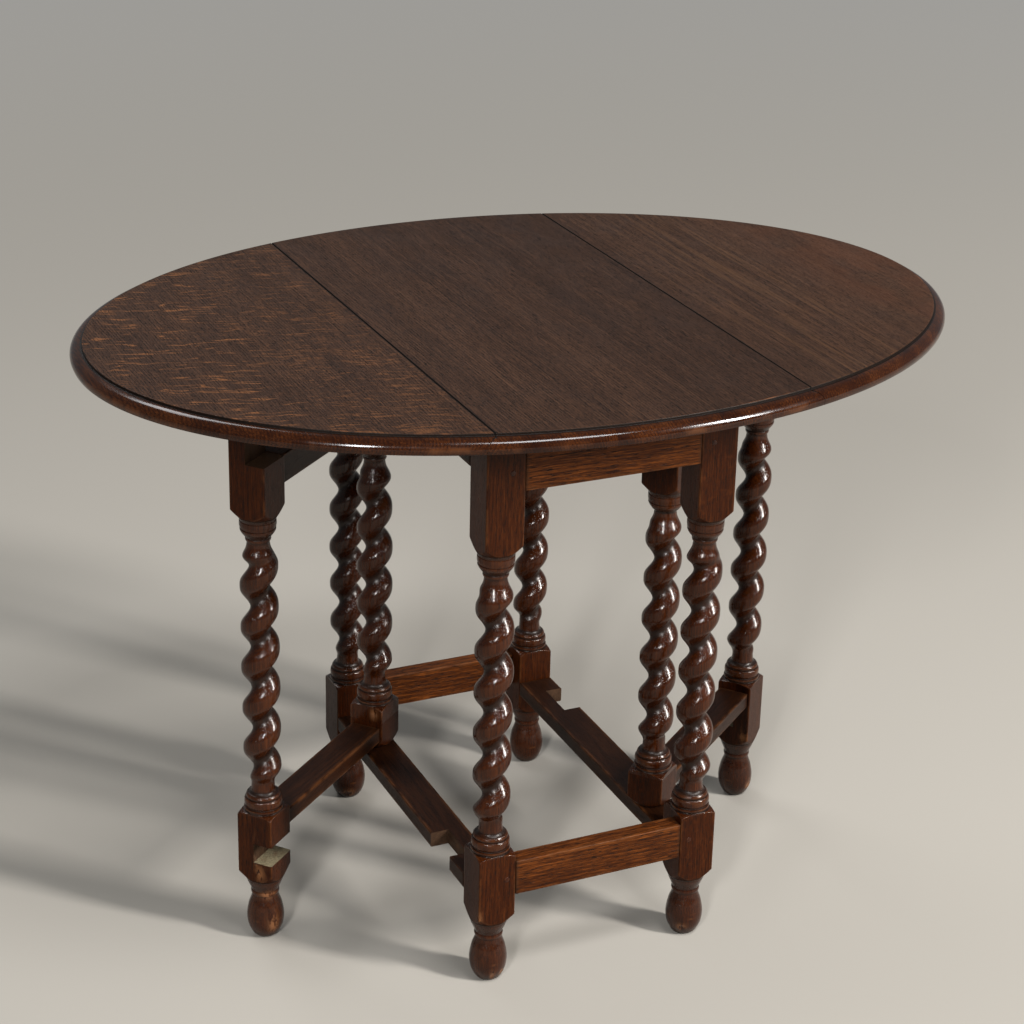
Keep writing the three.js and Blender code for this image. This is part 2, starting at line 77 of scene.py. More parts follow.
SQUARE_HALF = 22.5  # half the section of a leg
ARRIS = 1.3  # rounding of a leg's long edges
POST_SIDES = 96
PROFILE_STEP = 0.9
BLOCK_CIRCLE = 37.0  # larger than the square's corners, so the block keeps its edges
BLOCK_STEP = 11.0
LOWER_BLOCK = (104, 152)
UPPER_BLOCK_BOTTOM = 567
TURNED_SPAN = (169, 539)  # between a post's blocks

TWIST_PITCH = 51.5
TWIST_RADIUS = 22.0
TWIST_GROOVE_RADIUS = 10.6
NECK_RADIUS = 13.3
TWIST_BOTTOM = 205.0
TWIST_TOP = 509.0
TWIST_STEP = 1.6
NOTCH = (107, 132)  # lower halving of a gate leg
NOTCH_DEPTH = 24
PIN_RADIUS = 7.0  # of a pivot post
PIN_LENGTH = 12
GATE_RAIL_HALF = 19.5
BOARD_GAP = 0.3  # between a rail's shoulder and the leg

TOP_Z = 728.0
TOP_UNDERSIDE = 709.0
TOP_HALF_LENGTH = 505.6  # flat surface of the oval
TOP_HALF_WIDTH = 364.6
EDGE_REACH = 14.0
OVAL_SIDES = 288
SEAM_X = 183.0
SEAM_GAP = 0.6
RULE_AXIS_Z = 712.0
RULE_RADIUS = 12.5
RULE_CLEARANCE = 0.5
HINGE_GAP = 0.3  # between a flap and its recess
KNUCKLE_RADIUS = 2.6
KNUCKLE_RECESS = 2.9
HINGE_PIN_RADIUS = 1.4
FLAP_THICK = 1.95

# Direction of the twist's broad strand at the floor, in degrees from +X, in the rest pose.
TWIST_START = {
    "front_left_leg": 89, "front_right_leg": 245, "back_right_leg": 340, "back_left_leg": 187,
    "left_gate_leg": 206, "right_gate_leg": 53, "left_pivot_post": 88, "right_pivot_post": 68,
}
# How far a pivot post's lower turning is raised, and its upper one lowered.
POST_LIFT = {"left_pivot_post": 16.0, "right_pivot_post": 4.0}
POST_DROP = {"right_pivot_post": 5.0}


def box_mm(node):
    """Lowest and highest corners of a CAD node, in millimetres."""
    low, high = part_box(node)
    return np.array(low) / MM, np.array(high) / MM


def middle_xy(node):
    low, high = box_mm(node)
    return (low[:2] + high[:2]) / 2


def finish_piece(obj, node, stands_in=True):
    """Puts a piece on its node's body, in place of the node unless it only adds to it."""
    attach(obj, frame["nodes"][node]["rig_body"])
    if stands_in:
        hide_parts(node)


def gate_in_plan(side):
    """Where a gate's pivot is, how far out its leg stands, and the angle it is open at."""
    joint = next(j for j in frame["joints"] if j["name"] == f"{side}_gate_swing")
    pivot = np.array(joint["pos_m"][:2]) / MM
    reach = middle_xy(f"{side}_gate_leg") - pivot
    angle = math.atan2(reach[1], reach[0])
    return {"pivot": pivot, "length": float(np.hypot(*reach)), "angle": angle}


GATES = {side: gate_in_plan(side) for side in SIGNS}

# ---- meshes


def make_object(name, points, faces, *materials):
    """A mesh object from points in millimetres."""
    mesh = bpy.data.meshes.new(name)
    mesh.from_pydata((np.asarray(points) * MM).tolist(), [], [tuple(map(int, f)) for f in faces])
    mesh.update()
    obj = bpy.data.objects.new(name, mesh)
    bpy.context.scene.collection.objects.link(obj)
    for material in materials:
        mesh.materials.append(material)
    return obj


def points_of(mesh):
    """A mesh's vertices, in millimetres."""
    flat = np.zeros(len(mesh.vertices) * 3)
    mesh.vertices.foreach_get("co", flat)
    return flat.reshape(-1, 3) / MM


def store(mesh, name, values):
    """Keeps one number or one vector for each vertex as a named attribute."""
    kind = "FLOAT_VECTOR" if values.ndim == 2 else "FLOAT"
    attribute = mesh.attributes.new(name, kind, "POINT")
    key = "vector" if values.ndim == 2 else "value"
    attribute.data.foreach_set(key, values.astype(np.float32).ravel())


def smooth(mesh, degrees):
    """Smooth shading, with a sharp crease where faces meet at more than degrees."""
    mesh.shade_smooth()
    mesh.set_sharp_from_angle(angle=math.radians(degrees))


def turned(x, y, angle):
    cos, sin = math.cos(angle), math.sin(angle)
    return cos * x - sin * y, sin * x + cos * y


def place(obj, origin, angle):
    """Turns a mesh built about the Z axis by angle and moves it to origin (x, y)."""
    points = points_of(obj.data)
    x, y = turned(points[:, 0], points[:, 1], angle)
    points = np.stack([x + origin[0], y + origin[1], points[:, 2]], 1)
    obj.data.vertices.foreach_set("co", (points * MM).astype(np.float32).ravel())
    obj.data.update()


def loft(rings):
    """A closed skin over equal rings, lowest first and counterclockwise from above."""
    count, sides = len(rings), len(rings[0])
    faces = []
    for ring in range(count - 1):
        here = ring * sides
        for k in range(sides):
            a, b = here + k, here + (k + 1) % sides
            faces.append((a, b, b + sides, a + sides))
    last = (count - 1) * sides
    faces.append(tuple(range(sides - 1, -1, -1)))
    faces.append(tuple(range(last, last + sides)))
    return np.concatenate(rings), faces


def round_solid(axis, centre, stations, winding, sides, wander=0.0):
    """A solid round about a line along axis, from the place and radius of each station."""
    u, v = [a for a in range(3) if a != axis]
    turn = winding * TAU * np.arange(sides) / sides
    rings = []
    for at, radius in stations:
        ring = np.full((sides, 3), float(at))
        ring[:, u] = centre[u] + (radius + wander) * np.cos(turn)
        ring[:, v] = centre[v] + (radius + wander) * np.sin(turn)
        rings.append(ring)
    return loft(rings)


def boolean(obj, operation, *cutters):
    """Cuts obj by other objects, keeps the result as its mesh, and removes the cutters."""
    for cutter in cutters:
        modifier = obj.modifiers.new("Cut", "BOOLEAN")
        modifier.operation = operation
        modifier.solver = "EXACT"
        modifier.material_mode = "TRANSFER"
        modifier.object = cutter
    graph = bpy.context.evaluated_depsgraph_get()
    mesh = bpy.data.meshes.new_from_object(obj.evaluated_get(graph))
    obj.modifiers.clear()
    obj.data = mesh
    for cutter in cutters:
        bpy.data.objects.remove(cutter)


def box_cutter(low, high, material):
    """A plain box that other meshes are cut by."""
    x, y, z = zip(low, high)
    corners = [(a, b, c) for c in z for b in y for a in x]
    faces = [(0, 2, 3, 1), (4, 5, 7, 6), (0, 1, 5, 4), (2, 6, 7, 3), (0, 4, 6, 2), (1, 3, 7, 5)]
    return make_object("cutter", corners, faces, material)


def spread(t):
    """Goes smoothly from 0 to 1 while t does."""
    u = np.clip(t, 0, 1)
    return u * u * (3 - 2 * u)


# ---- wood coordinates


def lay_grain(obj, along, seed, origin=(0, 0), angle=0.0):
    """Stores where each vertex lies in its log: Z along the grain, X and Y across it from the pith.

    along is the grain's axis in the piece's own frame, which is turned by angle about origin.
    """
    chance = random.Random(seed)
    points = points_of(obj.data)
    local = [*turned(points[:, 0] - origin[0], points[:, 1] - origin[1], -angle), points[:, 2]]
    c = local.pop(along)
    a, b = turned(*local, chance.uniform(0, TAU))
    log = [
        a + chance.uniform(70, 150) + chance.uniform(-0.02, 0.02) * c,
        b + chance.uniform(-0.02, 0.02) * c,
        c + chance.uniform(-4000, 4000),
    ]
    store(obj.data, "grain", np.stack(log, 1))


# ---- materials


class Shader:
    """One material's nodes. Every method that makes a node returns its result."""

    def __init__(self, name, **settings):
        self.material = bpy.data.materials.new(name)
        self.material.use_nodes = True
        self.tree = self.material.node_tree
        self.surface = self.tree.nodes["Principled BSDF"]
        for key, value in settings.items():
            label = key.replace("_", " ").title().replace("Ior", "IOR")
            self.surface.inputs[label].default_value = value

    def node(self, kind, inputs, **settings):
        made = self.tree.nodes.new(kind)
        for key, value in settings.items():
            setattr(made, key, value)
        for key, value in inputs.items():
            if isinstance(value, bpy.types.NodeSocket):
                self.tree.links.new(value, made.inputs[key])
            else:
                made.inputs[key].default_value = value
        return made

    def link(self, socket, key):
        self.tree.links.new(socket, self.surface.inputs[key])

    def attribute(self, name, output="Fac"):
        return self.node("ShaderNodeAttribute", {}, attribute_name=name).outputs[output]

    def grain(self):
        return self.attribute("grain", "Vector")

    def math(self, operation, a, b=0.0, c=0.0, clamp=False):
        inputs = {0: a, 1: b, 2: c}
        made = self.node("ShaderNodeMath", inputs, operation=operation, use_clamp=clamp)
        return made.outputs[0]

    def times(self, a, b):
        return self.math("MULTIPLY", a, b)

    def plus(self, a, b):
        return self.math("ADD", a, b)

    def vector(self, operation, a, b=(0, 0, 0), output="Vector"):
        return self.node("ShaderNodeVectorMath", {0: a, 1: b}, operation=operation).outputs[output]

    def axis(self, vector, name):
        return self.node("ShaderNodeSeparateXYZ", {0: vector}).outputs[name]

    def noise(self, vector, size, detail=2.0, roughness=0.5, output="Fac"):
        """Noise whose patches are about size long in x, y and z."""
        scaled = self.vector("MULTIPLY", vector, tuple(1 / length for length in size))
        inputs = {"Vector": scaled, "Scale": 1.0, "Detail": detail, "Roughness": roughness}
        return self.node("ShaderNodeTexNoise", inputs).outputs[output]

    def drift(self, vector, size, reach):
        """A wandering vector of up to half of reach either way."""
        noise = self.noise(vector, size, output="Color")
        return self.vector("MULTIPLY", self.vector("SUBTRACT", noise, (0.5, 0.5, 0.5)), reach)

    def rise(self, value, start, end, low=0.0, high=1.0):
        """Goes smoothly from low to high while value goes from start to end."""
        inputs = {"Value": value, "From Min": start, "From Max": end, "To Min": low, "To Max": high}
        made = self.node("ShaderNodeMapRange", inputs, interpolation_type="SMOOTHSTEP")
        return made.outputs[0]

    def ramp(self, value, *stops):
        made = self.node("ShaderNodeValToRGB", {"Fac": value})
        elements = made.color_ramp.elements
        while len(elements) < len(stops):
            elements.new(0.5)
        for element, (position, colour) in zip(elements, stops):
            element.position = position
            element.color = (*colour, 1)
        return made.outputs["Color"]

    def mix(self, factor, a, b):
        inputs = {0: factor}
        for index, value in ((6, a), (7, b)):
            inputs[index] = (*value, 1) if isinstance(value, tuple) else value
        return self.node("ShaderNodeMix", inputs, data_type="RGBA").outputs[2]

    def bump(self, height, strength, distance, normal=None):
        inputs = {"Height": height, "Strength": strength, "Distance": distance}
        if normal is not None:
            inputs["Normal"] = normal
        return self.node("ShaderNodeBump", inputs).outputs["Normal"]

    def finished(self, colour, roughness, normal):
        """The material, with what its surface is made of."""
        self.link(colour, "Base Color")
        self.link(roughness, "Roughness")
        self.link(normal, "Normal")
        return self.material


def wood_signals(s, grain, ring_width, streak=(3.0, 90), pore=(0.8, 11)):
    """The parts of oak's figure: growth rings, streaks, broad bands, pores and fibres.

    streak and pore are the width and length of those marks.
    """
    wood = s.vector("ADD", grain, s.drift(grain, (80, 80, 520), (9, 9, 0)))
    across = s.vector("LENGTH", s.vector("MULTIPLY", wood, (1, 1, 0)), output="Value")
    ragged = s.noise(wood, (1.5, 1.5, 30))
    ring = s.plus(s.math("DIVIDE", across, ring_width), s.times(ragged, 1.3))
    early = s.rise(s.math("FRACT", ring), 0.0, 0.6, 1.0, 0.0)
    pore_noise = s.noise(wood, (pore[0], pore[0], pore[1]), detail=1.0)
    pores = s.times(s.rise(pore_noise, 0.50, 0.62), s.math("MULTIPLY_ADD", early, 0.6, 0.4))
    return SimpleNamespace(
        wood=wood,
        early=early,
        pores=pores,
        streaks=s.noise(wood, (streak[0], streak[0], streak[1]), 3.0, 0.62),
        bands=s.noise(wood, (34, 34, 800), detail=1.5),
        fibres=s.noise(wood, (1.0, 1.0, 26), roughness=0.6),
    )


def tone_of(s, signals, streaks, bands, rings, fibres):
    """One number for how light the wood is, about 0.5 on average."""
    parts = [
        (signals.streaks, streaks, 0.5),
        (signals.bands, bands, 0.5),
        (signals.early, -rings, 0.4),
        (signals.fibres, fibres, 0.5),
    ]
    tone = reduce(s.plus, [s.times(s.math("SUBTRACT", a, middle), b) for a, b, middle in parts])
    return s.math("ADD", tone, 0.5, clamp=True)


def relief(s, signals, fibres, strength):
    """Sunken pores and the ridges of the fibres."""
    ridges = s.times(signals.fibres, fibres)
    height = s.math("MULTIPLY_ADD", signals.pores, -1.0, ridges)
    return s.bump(height, strength, 0.25 * MM)


WARM_SHEEN = (1.0, 0.96, 0.92, 1)
# The dark colour of pores and joints, also used as painted shade in hollows, the quirk and the rule
# joints.
DIRT_AND_SHADE = (0.003, 0.0016, 0.001)
WORN_EDGE = (0.10, 0.034, 0.0095)
SCUFFED = (0.14, 0.056, 0.021)


def oak(name, dark, mid, light, streaks=1.1, bands=0.9, rings=0.2, pores=0.75, ring_width=3.0,
        roughness=0.3, wear=0.5, bump=0.35, shine=0.14, hollow_dirt_and_shade=0.8, flecks=0.0, streak=(3.0, 90),
        pore=(0.8, 11)):
    """Stained and waxed oak. Its vertices carry grain, cavity, edge and scuff."""
    s = Shader(name, specular_ior_level=shine, specular_tint=WARM_SHEEN)
    signals = wood_signals(s, s.grain(), ring_width, streak, pore)
    wood = signals.wood
    tone = tone_of(s, signals, streaks, bands, rings, 0.6)
    colour = s.ramp(tone, (0.12, dark), (0.5, mid), (0.9, light))
    if flecks:
        fleck = s.noise(wood, (26, 1.6, 7), detail=1.5)
        colour = s.mix(s.rise(fleck, 0.60, 0.70, 0.0, flecks), colour, light)
    colour = s.mix(s.times(signals.pores, pores), colour, DIRT_AND_SHADE)
    blotch = s.noise(wood, (9, 9, 22), 3.0, 0.65)
    edge = s.times(s.attribute("edge"), s.rise(blotch, 0.36, 0.62))
    colour = s.mix(s.times(edge, wear), colour, WORN_EDGE)
    scuff = s.times(s.attribute("scuff"), s.rise(blotch, 0.40, 0.52))
    colour = s.mix(scuff, colour, SCUFFED)
    # Hollows are darkened with dirt and painted shade: the twist's grooves, the board ends at the
    # legs and the pegs where they enter the leg.
    cavity = s.times(s.attribute("cavity"), s.rise(blotch, 0.2, 0.6, 0.6, 1.0))
    colour = s.mix(s.times(cavity, hollow_dirt_and_shade), colour, DIRT_AND_SHADE)
    rough = s.math("MULTIPLY_ADD", blotch, 0.16, roughness - 0.08)
    rough = s.plus(rough, s.times(signals.pores, 0.15))
    rough = s.plus(rough, s.times(scuff, 0.3))
    rough = s.math("ADD", rough, s.times(cavity, 0.2), clamp=True)
    waves = s.noise(wood, (14, 14, 60), detail=1.0)
    return s.finished(colour, rough, s.bump(waves, 0.25, 0.6 * MM, relief(s, signals, 0.35, bump)))


def raw_oak(name, colour):
    """Bare sawn oak, dusty and without polish, with the marks of the saw across it."""
    s = Shader(name, specular_ior_level=0.1)
    grain = s.grain()
    signals = wood_signals(s, grain, 3.4)
    tone = tone_of(s, signals, 0.9, 0.5, 0.25, 0.8)
    dark = tuple(0.42 * c for c in colour)
    light = tuple(min(1.0, 1.5 * c) for c in colour)
    mixed = s.ramp(tone, (0.1, dark), (0.5, colour), (0.9, light))
    mixed = s.mix(s.times(signals.pores, 0.5), mixed, (0.05, 0.03, 0.015))
    grime = s.noise(grain, (12, 12, 18), 4.0, 0.7)
    mixed = s.mix(s.rise(grime, 0.5, 0.75, 0.0, 0.75), mixed, (0.07, 0.035, 0.018))
    saw = s.noise(grain, (30, 30, 0.9))
    return s.finished(mixed, s.rise(grime, 0.2, 0.8, 0.55, 0.85), s.bump(saw, 0.5, 0.4 * MM))


def board_figure(s, grain, streak=(1.5, 120), pore=(1.0, 5.5)):
    """Figure of the glued-up top: each board comes from its own place in the log.

    Also returns a number from 0 to 1 that is each board's own.
    """
    side = s.axis(grain, "X")
    count = reduce(s.plus, [s.math("GREATER_THAN", side, joint) for joint in PLANK_JOINTS])
    number = s.plus(count, 3.7)
    board = s.node("ShaderNodeTexWhiteNoise", {"W": number}, noise_dimensions="1D")
    shift = s.vector("MULTIPLY", board.outputs["Color"], (240, 60, 3000))
    log = s.vector("ADD", s.vector("ADD", grain, shift), (70, -700, 0))
    return wood_signals(s, log, 3.3, streak, pore), board.outputs["Value"]


def distance_to(s, side, places):
    """How far side is from the nearest of places."""
    gaps = [s.math("ABSOLUTE", s.math("SUBTRACT", side, at)) for at in places]
    return reduce(lambda a, b: s.math("MINIMUM", a, b), gaps)


def top_face(name):
    """The tabletop's upper face: boards of quiet figure under a dull, much wiped wax."""
    s = Shader(name, specular_ior_level=0.09, specular_tint=WARM_SHEEN)
    grain = s.grain()
    side = s.axis(grain, "X")
    signals, tint = board_figure(s, grain)
    tone = tone_of(s, signals, 0.75, 0.25, 0.25, 0.7)
    tone = s.plus(tone, s.times(s.math("SUBTRACT", tint, 0.5), 0.07))
    tone = s.plus(tone, s.rise(side, -184, -183, 0.0, -0.04))
    tone = s.plus(tone, s.rise(side, 183, 184, 0.0, 0.07))
    colour = s.ramp(tone, (0.12, TOP_TONES[0]), (0.5, TOP_TONES[1]), (0.9, TOP_TONES[2]))

    # Ray flecks cross the grain of the left leaf, a little askew, and are rare elsewhere.
    turn = {"Vector": grain, "Angle": RAY_ANGLE}
    askew = s.node("ShaderNodeVectorRotate", turn, rotation_type="Y_AXIS").outputs[0]
    ray_log = s.vector("ADD", askew, s.drift(grain, (45, 45, 45), (0, 0, 22)))
    cluster = s.noise(grain, (60, 60, 110), detail=1.0)
    wavy = s.noise(ray_log, (78, 40, 9), detail=1.0)
    long_ray = s.rise(s.math("ABSOLUTE", s.math("SUBTRACT", wavy, 0.5)), 0.014, 0.042, 1.0, 0.0)
    broken = s.noise(ray_log, (48, 40, 7), detail=1.0)
    long_ray = s.times(long_ray, s.rise(broken, 0.45, 0.53))
    long_ray = s.times(long_ray, s.rise(cluster, 0.36, 0.50, 0.05, 1.0))
    short_ray = s.rise(s.noise(ray_log, (19, 40, 1.9), detail=1.0), 0.58, 0.72)
    short_ray = s.times(short_ray, s.rise(side, -340, -300, 0.2, 0.5))
    ray = s.math("MAXIMUM", s.times(long_ray, s.rise(side, -335, -315, 1.0, 0.5)), short_ray)
    ray = s.times(ray, s.rise(side, -186, -183, 1.0, 0.04))
    ragged = s.rise(signals.fibres, 0.3, 0.6, 0.5, 1.0)
    colour = s.mix(s.times(ray, s.times(ragged, 0.8)), colour, FLECK_COLOUR)
    colour = s.mix(signals.pores, colour, DIRT_AND_SHADE)

    # Golden streaks in the right leaf's inner board, and a redder, more worn patch towards its end.
    golden = s.noise(signals.wood, (5, 5, 200), 3.0, 0.65)
    golden = s.times(s.rise(golden, 0.45, 0.68), s.rise(side, 190, 235))
    golden = s.times(golden, s.rise(side, 330, 345, 0.42, 0.12))
    colour = s.mix(golden, colour, GOLDEN)
    worn = s.noise(grain, (60, 60, 90))
    redder = s.times(s.rise(side, 330, 460), s.rise(worn, 0.35, 0.6))
    colour = s.mix(s.times(redder, 0.3), colour, REDDER)

    # The arris over the moulding is rubbed pale in places, and a dark line lies along each joint.
    reach = s.attribute("reach")
    rub = s.noise(grain, (70, 30, 70), 3.0, 0.6)
    arris = s.times(s.rise(reach, -1.4, -0.4), s.rise(rub, 0.56, 0.66))
    colour = s.mix(s.times(arris, 0.9), colour, RUBBED_ARRIS)
    # Past the flat surface, the step down into the quirk is painted dark as shade.
    colour = s.mix(s.rise(reach, 0.05, 0.3, 0.0, 0.95), colour, DIRT_AND_SHADE)
    line = s.rise(distance_to(s, side, PLANK_JOINTS), 0.2, 0.9, 0.5, 0.0)
    line = s.times(line, s.rise(rub, 0.3, 0.6, 0.35, 1.0))
    seams = (-SEAM_X - SEAM_GAP / 2, SEAM_X + SEAM_GAP / 2)
    seam = s.rise(distance_to(s, side, seams), 1.2, 2.0, 1.0, 0.0)
    seam = s.times(seam, s.rise(side, -10, 10, 0.97, 0.7))
    colour = s.mix(s.math("MAXIMUM", line, seam), colour, DIRT_AND_SHADE)

    smear = s.noise(grain, (45, 45, 70), 4.0, 0.6)
    rough = s.rise(smear, 0.25, 0.75, 0.34, 0.50)
    rough = s.plus(rough, s.times(signals.pores, 0.15))
    waves = s.noise(grain, (60, 60, 200), detail=1.0)
    return s.finished(colour, rough, s.bump(waves, 0.2, 0.8 * MM, relief(s, signals, 0.5, 0.5)))


def top_rim(name):
    """The moulded rim: redder and much glossier than the face, with painted shade in the quirk."""
    s = Shader(name, specular_ior_level=0.24)
    grain = s.grain()
    signals, _ = board_figure(s, grain, (1.6, 34), (0.9, 9))
    tone = tone_of(s, signals, 0.9, 0.7, 0.15, 0.3)
    colour = s.ramp(tone, (0.2, RIM_TONES[0]), (0.5, RIM_TONES[1]), (0.85, RIM_TONES[2]))
    colour = s.mix(s.times(signals.pores, 0.35), colour, DIRT_AND_SHADE)
    reach = s.attribute("reach")
    # The quirk under the arris is painted dark as shade.
    colour = s.mix(s.rise(reach, 1.7, 3.6, 0.92, 0.0), colour, DIRT_AND_SHADE)
    rub = s.noise(grain, (60, 60, 60), 3.0, 0.6)
    bulge = s.times(s.rise(reach, 12.6, 13.8), s.rise(rub, 0.5, 0.66))
    colour = s.mix(s.times(bulge, 0.4), colour, RUBBED_RIM)
    rough = s.rise(rub, 0.3, 0.7, 0.10, 0.20)
    rough = s.plus(rough, s.rise(reach, 1.7, 3.2, 0.3, 0.0))
    peel = s.noise(grain, (2.5, 2.5, 2.5))
    return s.finished(colour, rough, s.bump(peel, 0.12, 0.3 * MM))


def top_underside(name):
    """The bare wood under the top and inside the rule joints, painted black near the upper face as
    the shade in the joints' narrow gap.
    """
    s = Shader(name, specular_ior_level=0.15)
    grain = s.grain()
    signals, _ = board_figure(s, grain)
    tone = tone_of(s, signals, 0.8, 0.6, 0.25, 0.8)
    colour = s.ramp(tone, (0.1, (0.020, 0.0105, 0.0058)), (0.9, (0.078, 0.043, 0.023)))
    dust = s.noise(grain, (50, 50, 50), 5.0, 0.65)
    colour = s.mix(s.rise(dust, 0.5, 0.8, 0.0, 0.4), colour, (0.11, 0.09, 0.07))
    colour = s.mix(s.times(signals.pores, 0.6), colour, DIRT_AND_SHADE)
    # Inside the rule joints, the wood near the upper face is painted black as shade in the narrow
    # gap.
    colour = s.mix(s.rise(s.axis(grain, "Y"), TOP_Z - 9, TOP_Z - 4, 0.0, 0.97), colour, DIRT_AND_SHADE)
    plane_marks = s.noise(grain, (24, 24, 300), detail=1.0)
    return s.finished(colour, s.rise(dust, 0.3, 0.7, 0.6, 0.8), s.bump(plane_marks, 0.4, 0.6 * MM))


def aged_steel(name):
    """Hinge steel with a brown film and rust in its hollows."""
    s = Shader(name, metallic=0.85)
    place_on = s.grain()
    speck = s.noise(place_on, (1.4, 1.4, 1.4), 5.0, 0.65)
    cloud = s.noise(place_on, (11, 11, 11), 3.0)
    film = ((0.3, (0.055, 0.045, 0.04)), (0.5, (0.11, 0.10, 0.095)), (0.7, (0.19, 0.17, 0.155)))
    rust = s.rise(speck, 0.5, 0.68, 0.0, 0.8)
    colour = s.mix(rust, s.ramp(cloud, *film), (0.07, 0.026, 0.012))
    rough = s.rise(speck, 0.25, 0.7, 0.32, 0.75)
    return s.finished(colour, rough, s.bump(speck, 0.3, 0.15 * MM))


PLANK_JOINTS = (-327, -183.3, -62, 58, 183.3, 318)
TOP_TONES = ((0.0090, 0.0038, 0.0020), (0.0222, 0.0100, 0.0056), (0.056, 0.0260, 0.0136))
RIM_TONES = ((0.0050, 0.0010, 0.0003), (0.0150, 0.0034, 0.0006), (0.046, 0.0125, 0.0022))
FLECK_COLOUR = (0.150, 0.058, 0.020)
GOLDEN = (0.066, 0.031, 0.0135)
REDDER = (0.060, 0.020, 0.0085)
RUBBED_ARRIS = (0.11, 0.040, 0.014)
RUBBED_RIM = (0.10, 0.034, 0.0105)
RAY_ANGLE = math.radians(-15.5)

LEG_TONES = (0.0085, 0.0016, 0.0004), (0.0200, 0.0042, 0.0008), (0.046, 0.0112, 0.0021)
TURNED = oak(
    "turned_oak", *LEG_TONES, streaks=0.7, bands=0.7, rings=0.12, pores=0.4, roughness=0.13,
    shine=0.26, flecks=0.25,
)
BLOCK = oak(
    "block_oak", *LEG_TONES, streaks=0.9, bands=0.5, rings=0.15, pores=0.85, wear=0.35,
    shine=0.09, flecks=0.3, streak=(1.3, 32), pore=(0.9, 8),
)
FIGURED = oak(
    "figured_oak", (0.014, 0.0030, 0.0007), (0.043, 0.0108, 0.0019), (0.122, 0.0335, 0.0058),
    streaks=1.3, bands=0.7, rings=0.15, pores=1.0, ring_width=4.6, roughness=0.36,
    shine=0.08, bump=0.6, streak=(1.9, 34), pore=(1.0, 9),
)
RAIL = oak(
    "rail_oak", (0.0050, 0.0014, 0.0005), (0.0110, 0.0033, 0.0012), (0.024, 0.0076, 0.0026),
    streaks=0.9, bands=0.8, rings=0.2, pores=0.7, roughness=0.34, wear=0.35, shine=0.09,
    streak=(1.8, 50), pore=(0.9, 9),
)
PLAIN = oak(
    "plain_oak", (0.020, 0.009, 0.0045), (0.042, 0.021, 0.011), (0.08, 0.042, 0.022),
    roughness=0.6, wear=0.4, shine=0.1, pores=0.5,
)
PEG = oak(
    "peg_oak", (0.0070, 0.0014, 0.0004), (0.0175, 0.0038, 0.0010), (0.038, 0.0095, 0.0024),
    roughness=0.22, wear=0.3, pores=0.5, shine=0.2, hollow_dirt_and_shade=0.4,
)
RAW = raw_oak("bare_oak", (0.125, 0.103, 0.062))
RAW_DARK = raw_oak("bare_oak_stained", (0.026, 0.0125, 0.0062))
TOP_FACE = top_face("top_oak")
TOP_RIM = top_rim("top_rim_oak")
TOP_UNDER = top_underside("top_bare_oak")
STEEL = aged_steel("hinge_steel")

# ---- turned posts


def stroke(points):
    """A smooth curve through [height, radius] points, without its first point."""
    points = [np.array(p, float) for p in points]
    padded = [2 * points[0] - points[1], *points, 2 * points[-1] - points[-2]]
    curve = []
    for before, a, b, after in zip(padded, padded[1:], padded[2:], padded[3:]):
        count = max(2, int(math.ceil(np.hypot(*(b - a)) / PROFILE_STEP)))
        lean = b - before
        lead = after - a
        for k in range(1, count + 1):
            t = k / count
            curve.append(
                a
                + 0.5 * lean * t
                + (3 * (b - a) - lean - 0.5 * lead) * t**2
                + (2 * (a - b) + 0.5 * (lean + lead)) * t**3
            )
    return curve


# Profiles as strokes of [height, radius] points. A stroke that starts apart makes a fillet.
FOOT = [
    [[0, 11.8], [1.0, 13.2], [5, 16.4], [15, 20.7], [28, 22], [42, 19.7], [51, 16.6], [56, 15.2]],
    [[56, 15.2], [57.4, 15.4]],
    [[57.4, 16.2], [60, 16.8], [62.2, 16.2]],
    [[62.2, 15.9], [64.6, 16.5], [70, 18.9], [76, 21.3], [79.7, 22.5], [85, 26.5], [91, 31.8]],
    [[91, 31.8], [97, BLOCK_CIRCLE]],
]
LOWER_BLOCK_TOP = [
    [[159, BLOCK_CIRCLE], [166.3, 31.8], [169.3, 27.4], [171, 22.4]],
    [[171.2, 22.3], [173, 22.9], [175.0, 22.4]],
    [[175.2, 20.8], [176.2, 20.5], [177, 20.6]],
    [[177.1, 21.1], [179, 21.9], [182, 22.2], [185.4, 21.8], [187.2, 20.4]],
    [[187.3, 19.4], [188.2, 19.3]],
    [[188.4, 20.0], [190.6, 19.9], [192.8, 18.2]],
    [[193.0, 16.6], [195, 14.7], [198, 13.9], [201, 13.5], [205, 13.3]],
]
UPPER_BLOCK_FOOT = [
    [[509, 13.2], [511, 13.0], [513.6, 13.4]],
    [[513.9, 14.4], [515.6, 14.7], [517.0, 14.3]],
    [[517.3, 14.2], [520, 16.2], [524, 19.1], [526.8, 20.4], [528.3, 20.4]],
    [[528.6, 19.6], [529.6, 19.6]],
    [[529.9, 20.6], [533.6, 21.1], [537.8, 20.9]],
    [[538.1, 20.3], [539.4, 20.4]],
    [[539.6, 20.8], [543, 22.5], [547.6, 26.4], [551, 29.5], [553.8, 31.8]],
    [[553.8, 31.8], [560, BLOCK_CIRCLE]],
]


def outline(strokes, lift=0.0):
    """The (height, radius) rings of a turned profile."""
    rings = []
    for part in strokes:
        if not rings or not np.allclose(rings[-1], part[0]):
            rings.append(np.array(part[0], float))
        rings.extend(stroke(part))
    return [(z + lift, r) for z, r in rings]


def post_angles():
    """Even steps round the post, with more on each arris of the square."""
    even = [TAU * k / POST_SIDES for k in range(POST_SIDES)]
    corners = [math.radians(90 * k + 45 + d) for k in range(4) for d in (-1.6, -0.8, 0.8, 1.6)]
    return np.array(sorted(even + corners))


ANGLES = post_angles()


